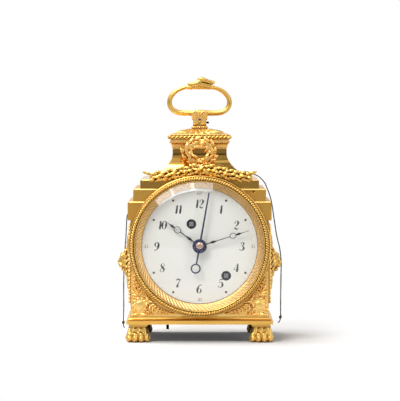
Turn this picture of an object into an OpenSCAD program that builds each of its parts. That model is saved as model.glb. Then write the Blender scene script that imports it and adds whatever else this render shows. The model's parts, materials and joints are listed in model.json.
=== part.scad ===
// Travelling clock in a gilt bronze case: lion paw feet, stepped shoulders, concave neck, low dome,
// a serpent loop for a handle, a round glazed door with its dial, and a two barrel movement.
// The front faces -Y, +X is to the right and the feet stand on z = 0. Millimetres.

/* [Case] */
// Width of the lower case
case_w = 110.8; // [106:0.2:124]
// Depth of the case, front to back
case_d = 82; // [76:1:98]
// Height of the lower case
case_h = 77.6; // [74:0.2:94]
// Thickness of the case walls
wall = 2.4; // [1.6:0.1:3.2]
// Height of the lower shoulder step
step_lower_h = 15.2; // [12:0.2:18]
// Height of the middle shoulder step
step_middle_h = 10.2; // [8:0.2:12.4]
// Height of the upper shoulder step
step_upper_h = 7.5; // [6:0.1:9]
// How far the lower step stands out past the case
step_out = 2.3; // [1:0.1:3]
// Width of one shoulder step
step_run = 5; // [3.5:0.1:6]

/* [Plinth and feet] */
// Height of a paw under its block
paw_h = 12.6; // [9:0.2:16]
// Width of a paw across its toes
paw_w = 19; // [15:0.2:22]
// Height of the plinth moulding
plinth_h = 5.8; // [4.8:0.1:7.5]
// Thickness of the bottom plate
bottom_t = 2; // [1.5:0.1:2.6]

/* [Neck and dome] */
// Height of the concave neck
neck_h = 23.8; // [20:0.1:30]
// Half width of the neck where it is narrowest
neck_half = 21.9; // [19:0.1:24]
// Spread of the neck's foot on each side
neck_spread = 16; // [12:0.2:18]
// Height of the cornice
cornice_h = 7.7; // [6:0.1:9]
// Height of the rope band
rope_h = 3.6; // [3:0.1:4.4]
// Height of the dome
dome_h = 5; // [4:0.1:7]

/* [Handle] */
// Half width of the handle loop, outside
loop_half = 26.3; // [22:0.1:30]
// Height of the handle loop, outside
loop_h = 24.1; // [20:0.1:27]
// Radius of the lower bar of the loop
loop_r = 2.05; // [1.6:0.05:2.4]
// Radius of the handle pin
handle_pin_r = 0.85; // [0.7:0.05:1.1]

/* [Dial and glass door] */
// Depth of the dial centre below the top of the lower case
dial_down = 20.5; // [16:0.1:20.7]
// Radius of the enamel dial
dial_r = 46.3; // [45.6:0.1:46.6]
// Width of the glass door's ring, from the edge of the dial outwards
bezel_w = 10.3; // [9.7:0.1:10.5]
// Height of the glass crown in front of the case
crown_h = 10.5; // [9.9:0.1:12]
// Radius of a winding hole
winding_r = 3.9; // [3.4:0.1:4.4]
// Side of a winding square
winding_square = 3.4; // [2.8:0.1:4]

/* [Hands] */
// Length of the hour hand, as a share of the dial's radius
hour_share = 0.72; // [0.6:0.01:0.78]
// Length of the minute hand, as a share of the dial's radius
minute_share = 0.9; // [0.82:0.01:0.95]
// Length of the alarm hand, as a share of the dial's radius
alarm_share = 0.94; // [0.82:0.01:0.95]
// Hour hand angle, clockwise from twelve
hour_at = 306; // [0:1:359]
// Minute hand angle, clockwise from twelve
minute_at = 72.6; // [0:0.1:359]
// Alarm hand angle, clockwise from twelve
alarm_at = 10; // [0:1:359]

/* [Movement] */
// Thickness of the movement plates
plate_t = 2; // [1.6:0.1:2.4]
// Gap between the movement plates
plate_gap = 28; // [27:0.5:32]
// Radius of the back plate
back_plate_r = 42; // [41.5:0.5:46]
// Radius of the bell
bell_r = 19; // [15:0.5:20]
// Teeth of a barrel wheel
great_n = 60; // [54:1:66]
// Leaves of the pinion that a barrel drives
great_pinion_n = 10; // [8:1:12]

/* [Pull cords] */
// Diameter of a pull cord
cord_d = 1; // [0.8:0.1:1.4]

/* [Fits] */
// Gap round a pin or pivot that turns in its hole
running = 0.04; // [0.02:0.01:0.08]
// Gap between faces that move past each other
gap = 0.3; // [0.25:0.05:0.5]

/* [Hidden] */
$fn = 48;
gilt = "#e3b24a";
brass = "#c9a45a";
steel = "#4a4f5a";
blued = "#232b3c";
enamel = "#eeeee6";
glass = "#dfe8ea60";
cord_olive = "#8e7e64";
over = 1; // how far a cut runs past the face it opens

// Heights, from the floor up
block_h = 2;
plinth_z = paw_h + block_h;
case_z = plinth_z + plinth_h;
step_lower_z = case_z + case_h;
step_middle_z = step_lower_z + step_lower_h;
step_upper_z = step_middle_z + step_middle_h;
neck_z = step_upper_z + step_upper_h;
cornice_z = neck_z + neck_h;
rope_z = cornice_z + cornice_h;
dome_z = rope_z + rope_h;
dome_top = dome_z + dome_h;
dial_z = step_lower_z - dial_down;

// Half widths and depths
half_w = case_w / 2;
front = case_d / 2;
plinth_out = 3.4;
step_lower_half = half_w + step_out;
step_middle_half = step_lower_half - 4.5;
step_upper_half = step_middle_half - step_run - 0.6;
neck_foot_half = neck_half + neck_spread;
neck_thin = 4.6; // how much less the neck measures in depth than in width, on each side
cornice_out = 2.5;
rope_out = 4.1;
chamfer = 1.2;

// Door and dial, as radius and as height in front of the case
bezel_r = dial_r + bezel_w;
glass_r = bezel_r - 4.5;
lip_r = glass_r - 0.4;
bezel_top = 7;
glass_rim = 6.7;
glass_t = 1;
glass_sag = crown_h - glass_rim;
glass_ball = (glass_r * glass_r + glass_sag * glass_sag) / (2 * glass_sag);
seat_r = dial_r + 3; // spigot of the dial ring
dial_front = front - 1;
dial_t = 1.6;
ledge_t = 2;
dial_back = dial_front - dial_t;
ledge_back = dial_back - ledge_t;
hinge_out = 1.6; // hinge pins stand this far off the case face
hinge_r = 1.35;
hinge_pin_r = 0.6;
knuckle_h = 4;
bezel_hinge_x = -(bezel_r - 0.2);
back_glass_r = 41;
back_ring_r = 46;
back_ring_t = 4.6;
back_hinge_x = back_ring_r - 0.2;
back_open_r = 42;
knob_x = -(back_glass_r + 1.8);
knob_tip = front + crown_h;

// Movement, as distance in front of the case's middle
plate_front = ledge_back - 3.4;
plate_front_back = plate_front - plate_t;
back_plate_front = plate_front_back - plate_gap;
back_plate_back = back_plate_front - plate_t;
plate_r = seat_r - 0.3;
pillar_at = [15, 75, 160, 262];
pillar_ring = back_plate_r - 4;
lug_at = [40, 130, 220, 310];
going_at = [-6.6, 17.5];
strike_at = [21.3, -24];
great_gap = norm(going_at);
great_m = 2 * great_gap / (great_n + great_pinion_n);
centre_n = 64;
third_pinion_n = 8;
centre_m = 0.45;
third_dir = 200;
third_at = centre_m * (centre_n + third_pinion_n) / 2 * [cos(third_dir), sin(third_dir)];
third_n = 56;
escape_pinion_n = 7;
third_m = 0.4;
escape_dir = 250;
escape_at = third_at + third_m * (third_n + escape_pinion_n) / 2
    * [cos(escape_dir), sin(escape_dir)];
escape_n = 15;
escape_r = 5.5;
balance_at = escape_at - [escape_r + 0.9, 0];
balance_r = 10;
pin_wheel_at = strike_at - [great_gap, 0];
pin_wheel_r = 9.5;
motion_gap = 11;
cannon_n = 12;
minute_n = 36;
minute_pinion_n = 10;
hour_n = 40;
cannon_m = 2 * motion_gap / (cannon_n + minute_n);
hour_m = 2 * motion_gap / (minute_pinion_n + hour_n);
motion_dir = 200;
motion_at = motion_gap * [cos(motion_dir), sin(motion_dir)];
great_layer = [plate_front_back - 1.5, plate_front_back - 3];
drum_layer = [great_layer[1] - 0.2, great_layer[1] - 11];
centre_layer = [back_plate_front + 12, back_plate_front + 11];
third_layer = [back_plate_front + 8, back_plate_front + 7];
escape_layer = [back_plate_front + 4, back_plate_front + 3];
pin_layer = [back_plate_front + 9.4, back_plate_front + 8.4];
minute_layer = [plate_front + 2.6, plate_front + 1.8];
hour_layer = [plate_front + 4.6, plate_front + 3.8];
drum_r = 13.8;
pivot_r = 0.5;
arbor_r = 2.2;
alarm_pin_r = 0.7;
centre_arbor_r = 1.5;
cannon_r = 2.05;
hour_pipe_r = 2.65;
hour_hand_z = dial_front + 1.6;
minute_hand_z = dial_front + 3;
alarm_hand_z = dial_front + 4.4;
hand_t = 0.8;
hour_len = hour_share * dial_r;
minute_len = minute_share * dial_r;
alarm_len = alarm_share * dial_r;
collet_top = dial_front + 6.6;
bell_at = [10, 14];
bell_depth = 15;
hammer_at = [27, -27];
hammer_dir = -40; // where the hammer meets the bell's rim
hammer_head = bell_at + (bell_r + 3.6) * [cos(hammer_dir), sin(hammer_dir)];
lever_at = [-26, 6];
lever_len = 24;
lever_swing = 16;

// Handle joint
pin_z = dome_top + 4.9;
fork_half = 3.2;
saddle_r = fork_half + 0.5;
tongue_half = 1.1;
post_sink = 0.5; // depth of the post's seat in the dome
loop_z = dome_top + 10.6;
loop_end_r = loop_h / 2 - loop_r + 0.25;
loop_end_x = loop_half - loop_end_r - loop_r + 0.1;

// Routes of the pull cords, from where each leaves the case to its tip. The right one leaves
// beside the neck's foot and the left one from the lower step, and both hang clear of the case.
drawn_foot = 37.9; // the neck's foot, the case's half width and the heights the routes were drawn to
drawn_half_w = 55.4;
drawn_neck_z = 130.9;
drawn_step_z = 98;
right_drawn = [[32.6, 0, 134.9], [35.5, 0, 135.2], [39.4, 0, 135.4], [43.5, 0, 134], [48.6, 0, 131.6],
    [53, 0, 126.9], [55.2, 0, 122.1], [57.4, 0, 116.4], [59.1, 0, 109.2], [60.6, 0, 99.4],
    [63, 0, 83.8], [65.6, 0, 72.7], [66.8, 0, 61.8], [66.7, 0, 53.2], [66.4, 0, 31], [66.2, 0, 15.6],
    [64.3, 0, 11.9]];
left_drawn = [[-57.2, 12, 101.5], [-58.8, 12, 100.6], [-59.9, 12, 97.4], [-60.7, 12, 81.8],
    [-61.3, 12, 74.3], [-62.1, 12, 60], [-62.6, 12, 43.8], [-62.6, 12, 23.7], [-62.9, 12, 10],
    [-62, 12, 6.5]];
right_route = [for (p = right_drawn)
    let (t = min(1, max(0, (p[0] - right_drawn[1][0]) / (right_drawn[6][0] - right_drawn[1][0]))))
    [p[0] + (1 - t) * (neck_foot_half - drawn_foot) + t * (half_w - drawn_half_w), p[1],
        p[2] * neck_z / drawn_neck_z]];
left_route = [for (p = left_drawn) [p[0] + drawn_half_w - half_w, p[1], p[2] * step_lower_z / drawn_step_z]];
cord_sides = 8;
cord_steps = 3;

// Helpers

// Puts flat work on the dial's axes: x right, y up and z towards the front
module on_dial(at = [0, 0]) {
    translate([at[0], 0, dial_z + at[1]]) rotate([90, 0, 0]) children();
}

// A round between two distances in front of the case's middle
module disc(r, layer) {
    translate([0, 0, min(layer)]) cylinder(r = r, h = abs(layer[0] - layer[1]));
}

// An outline repeated on both sides of the middle line, from [half width, height] points
function both_sides(points) = concat(points,
    [for (i = [len(points) - 1:-1:0]) [-points[i][0], points[i][1]]]);

// A block whose moulding runs round all four sides and mitres at the corners
module moulded_block(points, thinner) {
    intersection() {
        rotate([90, 0, 0])
            linear_extrude(height = 400, center = true) polygon(both_sides(points));
        rotate([90, 0, 90])
            linear_extrude(height = 400, center = true)
                polygon(both_sides([for (p = points) [p[0] - thinner, p[1]]]));
    }
}

// A quarter round or hollow as points from a to b, with its centre at [a x, b y] or [b x, a y]
function arc_points(a, b, hollow, n = 5) = [for (i = [0:n])
    let (t = 90 * i / n)
    hollow ? [b[0] + (a[0] - b[0]) * cos(t), a[1] + (b[1] - a[1]) * sin(t)]
        : [a[0] + (b[0] - a[0]) * sin(t), b[1] + (a[1] - b[1]) * cos(t)]];

// One pointed leaf with a raised midrib, lying along +x with its face to +z
LEAF_FACES = [[0, 4, 1], [1, 4, 3], [3, 4, 2], [2, 4, 0], [0, 1, 5], [1, 3, 5], [3, 2, 5], [2, 0, 5]];
module leaf(l, w, t, rise = 0) {
    hull() polyhedron([[0, 0, 0], [0.45 * l, w / 2, 0], [0.45 * l, -w / 2, 0], [l, 0, rise],
        [0.4 * l, 0, t], [0.4 * l, 0, -t / 2]], LEAF_FACES);
}

// A lobed leaf: a middle blade with pairs of side blades, as acanthus is cast
module acanthus(l, w, t, pairs = 3) {
    leaf(l, w * 0.42, t, 0);
    for (i = [0:pairs - 1], side = [-1, 1])
        translate([l * (0.08 + 0.62 * i / pairs), 0, 0])
            rotate([0, 0, side * (58 - 10 * i)]) leaf(w * (0.62 - 0.08 * i), w * 0.3, t * 0.8, 0);
}

// Trapezoid teeth on a rim
function gear_points(n, m) = [for (i = [0:n - 1], k = [[-0.27, -1.15], [-0.12, 0.75], [0.12, 0.75],
    [0.27, -1.15]]) let (r = m * (n / 2 + k[1]), a = (i + k[0]) * 360 / n) r * [cos(a), sin(a)]];

module gear(n, m, layer, turn = 0) {
    translate([0, 0, min(layer)]) rotate([0, 0, turn])
        linear_extrude(height = abs(layer[0] - layer[1])) polygon(gear_points(n, m));
}

// How far a wheel is turned so that its teeth enter the gaps of the wheel that drives it
function meshed(dir, turn, n1, n2) = dir + 180 + (dir - turn) * n1 / n2 - 180 / n2;

// Windows between the spokes of a wheel
module wheel_windows(hub, rim, spokes, layer) {
    span = 360 / spokes;
    bar = 0.1;
    for (i = [0:spokes - 1])
        translate([0, 0, min(layer) - over]) rotate([0, 0, i * span + span * bar])
            rotate_extrude(angle = span * (1 - 2 * bar))
                translate([hub, 0]) square([rim - hub, abs(layer[0] - layer[1]) + 2 * over]);
}

function unit(v) = v / norm(v);
function spline(a, b, c, d, t) = 0.5 * (2 * b + (c - a) * t + (2 * a - 5 * b + 4 * c - d) * t * t
    + (3 * b - a - 3 * c + d) * t * t * t);
function smooth(p, k) = concat([for (i = [0:len(p) - 2], j = [0:k - 1])
    spline(p[max(i - 1, 0)], p[i], p[i + 1], p[min(i + 2, len(p) - 1)], j / k)], [p[len(p) - 1]]);

// A round tube swept along a route that never runs along y
module tube(route, d) {
    p = smooth(route, cord_steps);
    rings = len(p);
    points = [for (i = [0:rings - 1], j = [0:cord_sides - 1])
        let (t = unit(p[min(i + 1, rings - 1)] - p[max(i - 1, 0)]), u = unit(cross(t, [0, 1, 0])),
            v = cross(t, u), a = 360 * j / cord_sides)
        p[i] + d / 2 * (cos(a) * u + sin(a) * v)];
    sides = [for (i = [0:rings - 2], j = [0:cord_sides - 1])
        let (a = i * cord_sides, k = (j + 1) % cord_sides)
        [a + j, a + cord_sides + j, a + cord_sides + k, a + k]];
    ends = [[for (j = [0:cord_sides - 1]) j],
        [for (j = [cord_sides - 1:-1:0]) (rings - 1) * cord_sides + j]];
    polyhedron(points, concat(sides, ends), convexity = 4);
}

// Base

module plinth() {
    low = half_w + plinth_out;
    mid = half_w + 1.8;
    high = half_w + 2.2;
    thin = half_w - front;
    color(gilt) difference() {
        union() {
            difference() {
                translate([0, 0, plinth_z])
                    moulded_block(concat([[low, 0], [low, plinth_h * 0.5], [mid, plinth_h * 0.53],
                        [mid, plinth_h * 0.6]], arc_points([high, plinth_h * 0.66],
                        [half_w + 0.6, plinth_h], false)), thin);
                translate([0, 0, plinth_z + bottom_t + plinth_h / 2])
                    cube([case_w - 2 * wall, case_d - 2 * wall, plinth_h], center = true);
            }
            translate([lever_at[0], lever_at[1], plinth_z]) cylinder(r = 1.5, h = bottom_t + 2.6);
        }
        translate([lever_at[0], lever_at[1], plinth_z - over]) rotate([0, 0, -90 - 4])
            rotate_extrude(angle = lever_swing + 8)
                translate([lever_len - 1.5, 0]) square([3, bottom_t + 2 * over]);
    }
}

module strike_lever() {
    peg_drop = 6.2; // how far the peg reaches under the plinth
    z = plinth_z + bottom_t + 0.2;
    color(steel) translate([lever_at[0], lever_at[1], 0]) difference() {
        union() {
            translate([0, 0, z]) cylinder(r = 3, h = 1.2);
            translate([-1.4, -lever_len, z]) cube([2.8, lever_len, 1.2]);
            translate([0, -lever_len, z]) cylinder(r = 1.8, h = 1.2);
            translate([0, -lever_len, plinth_z - peg_drop]) cylinder(r = 1.1, h = z - plinth_z + peg_drop + 0.4);
        }
        translate([0, 0, z - over]) cylinder(r = 1.5 + running, h = 4);
    }
}

// A lion's paw under a square block: three toes with knuckles, and a furred ankle
module paw(x, y) {
    toe_gap = paw_w * 0.345;
    tip_r = paw_w * 0.155;
    knuckle_r = paw_w * 0.165;
    translate([x, y, 0]) {
        translate([-7.5, -7.5, paw_h]) cube([15, 15, block_h]);
        intersection() {
            translate([-paw_w, -paw_w, 0]) cube([2 * paw_w, 2 * paw_w, paw_h]);
            union() {
                translate([0, 1.2, paw_h * 0.45]) cylinder(r1 = 6.2, r2 = 7.3, h = paw_h * 0.55);
                translate([0, 2, 0]) cylinder(r1 = 7.6, r2 = 6.2, h = paw_h * 0.5);
                for (i = [-1, 0, 1]) {
                    reach = i == 0 ? -7.2 : -5.6;
                    translate([i * toe_gap, reach, tip_r * 0.8]) sphere(r = tip_r);
                    translate([i * toe_gap * 0.94, reach + 3.2, paw_h * 0.42]) sphere(r = knuckle_r);
                    translate([i * toe_gap, reach, tip_r * 0.6]) rotate([-90, 0, 0])
                        cylinder(r = tip_r, h = 7);
                    translate([i * toe_gap * 0.8, reach + 6, paw_h * 0.66]) sphere(r = knuckle_r);
                }
            }
        }
    }
}

foot_x = half_w - 5.9;
foot_y = front - 5;
module foot_front_left() { color(gilt) paw(-foot_x, -foot_y); }
module foot_front_right() { color(gilt) paw(foot_x, -foot_y); }
module foot_rear_left() { color(gilt) paw(-foot_x, foot_y); }
module foot_rear_right() { color(gilt) paw(foot_x, foot_y); }

// Case body

// One storey of the case: a plain box with its top corners chamfered, before it is hollowed
module storey(half, z, h, cut) {
    translate([0, 0, z]) rotate([90, 0, 0])
        linear_extrude(height = case_d, center = true)
            polygon(both_sides([[half, 0], [half, h - cut], [half - cut, h]]));
}

module hollow(half, z, h) {
    translate([0, 0, z + h / 2]) cube([2 * half, case_d - 2 * wall, h + 2 * over], center = true);
}

// Round openings for the dial in front and the glazed door behind
module round_openings() {
    on_dial() {
        translate([0, 0, front - wall - over]) cylinder(r = seat_r + 0.2, h = wall + 2 * over);
        translate([0, 0, -front - over]) cylinder(r = back_open_r, h = wall + 2 * over);
    }
}

// A hinge knuckle with the leaf that ties it to the case face
module case_knuckle(x, side, inward) {
    translate([x, side * (front + hinge_out), dial_z - knuckle_h / 2]) difference() {
        union() {
            cylinder(r = hinge_r, h = knuckle_h);
            translate([inward > 0 ? 0 : -1.8, side > 0 ? -hinge_out - 0.6 : 0, 0])
                cube([1.8, hinge_out + 0.6, knuckle_h]);
        }
        translate([0, 0, -over]) cylinder(r = hinge_pin_r + running, h = knuckle_h + 2 * over);
    }
}

module lower_case() {
    color(gilt) difference() {
        union() {
            difference() {
                storey(half_w, case_z, case_h, 0);
                hollow(half_w - wall, case_z, case_h);
                round_openings();
            }
            case_knuckle(bezel_hinge_x, -1, 1);
            case_knuckle(back_hinge_x, 1, -1);
        }
    }
}

module step_lower() {
    color(gilt) difference() {
        storey(step_lower_half, step_lower_z, step_lower_h, chamfer);
        hollow(step_middle_half - wall, step_lower_z, step_lower_h);
        round_openings();
        translate([-step_lower_half - over, 12, 101.5]) rotate([0, 90, 0])
            cylinder(r = 1.4, h = 2 * step_lower_half - 80);
    }
}

module step_middle() {
    color(gilt) difference() {
        storey(step_middle_half, step_middle_z, step_middle_h, chamfer);
        hollow(step_upper_half - wall, step_middle_z, step_middle_h);
        round_openings();
        translate([step_middle_half - 9.8, -front + wall + over, step_upper_z - 2.4])
            rotate([90, 0, 0]) cylinder(r = 0.7, h = wall + 2 * over);
    }
}

module step_upper() {
    color(gilt) difference() {
        storey(step_upper_half, step_upper_z, step_upper_h, chamfer);
        hollow(step_upper_half - wall, step_upper_z - wall, step_upper_h - over);
        translate([0, 0, neck_z])
            cube([2 * neck_foot_half - 12, 2 * (neck_foot_half - neck_thin) - 12, 10], center = true);
        round_openings();
    }
}

// The neck's outline: a hollow curve that runs out to a wide foot
neck_foot = 1.6;
neck_cap = 3.4;
neck_curve_h = neck_h - neck_foot - neck_cap;
function neck_points(inset) = concat([[neck_foot_half - inset, 0]],
    [for (i = [0:10]) [neck_half + neck_spread * pow(1 - i / 10, 2) - inset,
        neck_foot + neck_curve_h * i / 10]], [[neck_half - inset, neck_h]]);

module neck() {
    color(gilt) difference() {
        translate([0, 0, neck_z]) moulded_block(neck_points(0), neck_thin);
        translate([0, 0, neck_z - wall]) moulded_block(neck_points(wall - 0.2), neck_thin);
        translate([28, 0, neck_z + 2.4]) rotate([0, 70, 0]) cylinder(r = cord_d / 2 + 0.6, h = 10);
    }
}

module cornice() {
    h = cornice_h;
    out = neck_half + cornice_out;
    color(gilt) translate([0, 0, cornice_z])
        moulded_block(concat([[neck_half, 0], [neck_half, h * 0.1], [neck_half + 0.5, h * 0.13]],
            arc_points([neck_half + 0.5, h * 0.16], [out, h * 0.66], true),
            [[out, h * 0.78], [out - 0.7, h * 0.8], [out - 0.7, h]]), neck_thin);
}

// A band of twisted rope round the top of the cornice
module rope_band() {
    half = neck_half + rope_out;
    depth = half - neck_thin;
    r = rope_h / 2;
    strand = 1.05;
    lay = 2.6;
    color(gilt) translate([0, 0, rope_z]) {
        translate([-half + r, -depth + r, 0]) cube([2 * (half - r), 2 * (depth - r), rope_h]);
        for (side = [-1, 1]) {
            n = floor((half - r) / lay);
            for (i = [-n:n]) translate([i * lay, side * (depth - strand - 0.2), r])
                rotate([0, side * 34, 0]) cylinder(r = strand, h = rope_h * 0.98, center = true);
            k = floor((depth - r) / lay);
            for (i = [-k:k]) translate([side * (half - strand - 0.2), i * lay, r])
                rotate([side * -34, 0, 0]) cylinder(r = strand, h = rope_h * 0.98, center = true);
        }
        for (x = [-1, 1], y = [-1, 1])
            translate([x * (half - 1.5), y * (depth - 1.5), 0]) cylinder(r = 1.5, h = rope_h);
    }
}

// A low dome that rises on all four sides
module dome_cap() {
    half = neck_half + 2;
    arc = (half * half + dome_h * dome_h) / (2 * dome_h);
    depth = half - neck_thin;
    side_arc = (depth * depth + dome_h * dome_h) / (2 * dome_h);
    color(gilt) difference() {
        intersection() {
            translate([-half, -depth, dome_z]) cube([2 * half, 2 * depth, dome_h]);
            translate([0, 0, dome_top - arc]) rotate([90, 0, 0])
                cylinder(r = arc, h = 100, center = true, $fn = 200);
            translate([0, 0, dome_top - side_arc]) rotate([0, 90, 0])
                cylinder(r = side_arc, h = 100, center = true, $fn = 200);
        }
        translate([0, 0, dome_top - post_sink]) cylinder(r = 6.7, h = 2);
    }
}

// Handle

module handle_post() {
    foot = dome_top - post_sink;
    pin_up = pin_z - foot;
    tongue_r = 2.9;
    color(gilt) translate([0, 0, foot]) difference() {
        union() {
            cylinder(r = 6.2, h = 2.9);
            for (i = [0:19]) rotate([0, 0, i * 18]) translate([5.9, 0, 1.5]) sphere(r = 0.95);
            translate([-tongue_half, 0, pin_up]) rotate([0, 90, 0])
                cylinder(r = tongue_r, h = 2 * tongue_half);
            translate([-tongue_half, -tongue_r, 0]) cube([2 * tongue_half, 2 * tongue_r, pin_up]);
        }
        for (side = [-1, 1]) translate([side * (tongue_half + 5), 0, pin_up]) rotate([0, 90, 0])
            cylinder(r = saddle_r, h = 10, center = true);
        translate([-9, 0, pin_up]) rotate([0, 90, 0])
            cylinder(r = handle_pin_r + running / 2, h = 18);
    }
}

// The leaf cast cup between the pin and the loop, a fork over the tongue
module handle_cup() {
    cup_top = loop_z + 0.6;
    color(gilt) difference() {
        union() {
            translate([0, 0, pin_z]) rotate([0, 90, 0])
                cylinder(r = fork_half, h = 10.8, center = true);
            translate([0, 0, pin_z]) rotate([90, 0, 0])
                linear_extrude(height = 2 * fork_half, center = true)
                    polygon(both_sides(concat([[5.4, 0], [5.5, 2.4]],
                        arc_points([5.5, 2.4], [6.9, cup_top - pin_z], true))));
            for (x = [-3.6, 3.6]) translate([x, 0, cup_top - 0.4]) sphere(r = 3.3);
        }
        translate([-tongue_half - 0.2, -5, pin_z - 5]) cube([2 * tongue_half + 0.4, 10, 9.6]);
        translate([0, 0, loop_z + loop_r]) rotate([0, 90, 0])
            cylinder(r = loop_r + 0.02, h = 30, center = true);
        translate([-9, 0, pin_z]) rotate([0, 90, 0]) cylinder(r = handle_pin_r + running, h = 18);
    }
}

module handle_pin() {
    color(steel) translate([-5.3, 0, pin_z]) rotate([0, 90, 0]) cylinder(r = handle_pin_r, h = 13);
}

// A serpent bent into a loop: two round ends, a lower bar, a tail and a head over the top
module handle_loop() {
    bar_z = loop_z + loop_r;
    top_z = loop_z + loop_h;
    head_z = top_z + 5.4;
    color(gilt) {
        translate([0, 0, bar_z]) rotate([0, 90, 0])
            cylinder(r = loop_r, h = 2 * loop_end_x, center = true);
        for (side = [-1, 1])
            translate([side * loop_end_x, 0, bar_z + loop_end_r]) rotate([90, 0, 0])
                rotate([0, 0, -90 * side]) rotate_extrude(angle = 180)
                    translate([loop_end_r, 0]) circle(r = loop_r - 0.1);
        hull() {
            translate([-loop_end_x, 0, bar_z + 2 * loop_end_r]) sphere(r = 1.9, $fn = 20);
            translate([-8, 0, head_z - 3.4]) sphere(r = 2.1, $fn = 20);
        }
        hull() {
            translate([-7.6, 0, head_z - 2.6]) sphere(r = 2.4, $fn = 20);
            translate([-3, 0, head_z - 1.4]) sphere(r = 2.9, $fn = 20);
            translate([0.8, 0, head_z - 0.2]) sphere(r = 2.5, $fn = 20);
            translate([10.9, 0, head_z - 1.2]) sphere(r = 1.4, $fn = 20);
        }
        hull() {
            translate([-4, 0, head_z - 3]) sphere(r = 1.8, $fn = 20);
            translate([9.2, 0, head_z - 3.3]) sphere(r = 0.9, $fn = 20);
        }
        hull() {
            translate([loop_end_x, 0, bar_z + 2 * loop_end_r]) sphere(r = 1.9, $fn = 20);
            translate([2, 0, top_z - 1.4]) sphere(r = 1.35, $fn = 20);
        }
        hull() {
            translate([2, 0, top_z - 1.4]) sphere(r = 1.35, $fn = 20);
            translate([-7, 0, top_z - 1.8]) sphere(r = 0.5, $fn = 20);
        }
    }
}

// Applied ornament

wreath_z = cornice_z - 3;
wreath_y = -(neck_half + rope_out - neck_thin + 0.6);

// A laurel wreath of paired leaves on a round stem, tied below
module wreath() {
    ring = 8.9;
    squash = 0.86;
    count = 14;
    color(gilt) translate([0, wreath_y, wreath_z]) rotate([90, 0, 0]) {
        for (side = [-1, 1], i = [0:count - 1]) {
            a = -90 + side * (8 + i * 164 / count);
            at = ring * [cos(a), squash * sin(a)];
            for (turn = [-38, 0, 38])
                translate([at[0], at[1], 1.2]) rotate([0, 0, a + side * 90 + side * turn])
                    rotate([0, -14, 0]) leaf(6.4, 2.6, 1.4);
        }
        for (i = [0:11]) {
            hull() for (k = [0, 1]) {
                a = (i + k) * 30;
                translate([ring * cos(a), ring * squash * sin(a), 1.2]) sphere(r = 1.5, $fn = 8);
            }
        }
        for (side = [-1, 1]) translate([0, -ring * squash, 1.4])
            rotate([0, 0, -90 + side * 58]) leaf(8, 3, 1.4);
    }
}

garland_r = bezel_r + 5;

// A laurel garland that follows the top of the glass door, with ribbon ends on the shoulders
module laurel_garland() {
    reach = 40;
    count = 15;
    color(gilt) translate([0, -front, dial_z]) rotate([90, 0, 0]) {
        for (side = [-1, 1], i = [0:count - 1]) {
            a = 90 + side * (3 + i * (reach - 3) / count);
            at = garland_r * [cos(a), sin(a)];
            for (turn = [-26, 26])
                translate([at[0], at[1], 1.4]) rotate([0, 0, a + side * 90 - side * turn])
                    rotate([0, -10, 0]) leaf(6.6, 2.8, 1.7);
        }
        for (i = [0:9]) hull() for (k = [0, 1]) {
            a = 90 + (i + k - 5) * reach / 5;
            translate([garland_r * cos(a), garland_r * sin(a), 1.3]) sphere(r = 1.3, $fn = 8);
        }
        for (side = [-1, 1]) translate([garland_r * cos(90 + side * reach),
            garland_r * sin(90 + side * reach), 1])
            rotate([0, 0, 90 + side * 94]) leaf(7, 3, 1.2);
    }
}

rosette_in = 7.8;
rosette_up = 8.5;

// Corner leafage below the door: a rosette with acanthus running along the base and up the side
module spandrel(side) {
    color(gilt) difference() {
        translate([side * (half_w - rosette_in), -front, case_z + rosette_up]) rotate([90, 0, 0])
            union() {
                for (i = [0:7]) rotate([0, 0, i * 45]) leaf(6.4, 4, 1.6, 0.3);
                translate([0, 0, 1]) sphere(r = 2, $fn = 14);
                translate([-side * 4, -3.4, 0.5]) rotate([0, 0, side > 0 ? 178 : 2])
                    acanthus(23, 9, 1.7, 4);
                translate([side * 3.6, 5, 0.5]) rotate([0, 0, 90 + side * 2])
                    acanthus(25, 8, 1.7, 4);
            }
        on_dial() cylinder(r = bezel_r + gap, h = 200, $fn = 96);
        translate([side * (half_w + 50), 0, dial_z]) cube([100, 200, 200], center = true);
        translate([0, 0, case_z - 10]) cube([200, 200, 20], center = true);
        translate([0, 0, dial_z]) cube([2 * case_w, case_d, 200], center = true);
    }
}
module spandrel_left() { spandrel(-1); }
module spandrel_right() { spandrel(1); }

panel_z = case_z + 41.6;
panel_half_y = 28;
panel_half_z = 31.6;

// A beaded border on the right side of the case
module side_panel() {
    bar = 2.2;
    bar_t = 1.2;
    bead = 1.2;
    ny = 18;
    nz = 20;
    color(gilt) translate([half_w, 0, panel_z]) {
        difference() {
            translate([bar_t / 2, 0, 0])
                cube([bar_t, 2 * panel_half_y, 2 * panel_half_z], center = true);
            cube([10, 2 * (panel_half_y - bar), 2 * (panel_half_z - bar)], center = true);
        }
        for (s = [-1, 1]) {
            for (i = [0:ny - 1])
                translate([bar_t, (i / (ny - 1) - 0.5) * 2 * (panel_half_y - bar / 2),
                    s * (panel_half_z - bar / 2)]) sphere(r = bead);
            for (i = [1:nz - 2])
                translate([bar_t, s * (panel_half_y - bar / 2),
                    (i / (nz - 1) - 0.5) * 2 * (panel_half_z - bar / 2)]) sphere(r = bead);
        }
    }
}
module side_panel_left() { rotate([0, 0, 180]) side_panel(); }
module side_panel_right() { side_panel(); }

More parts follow.
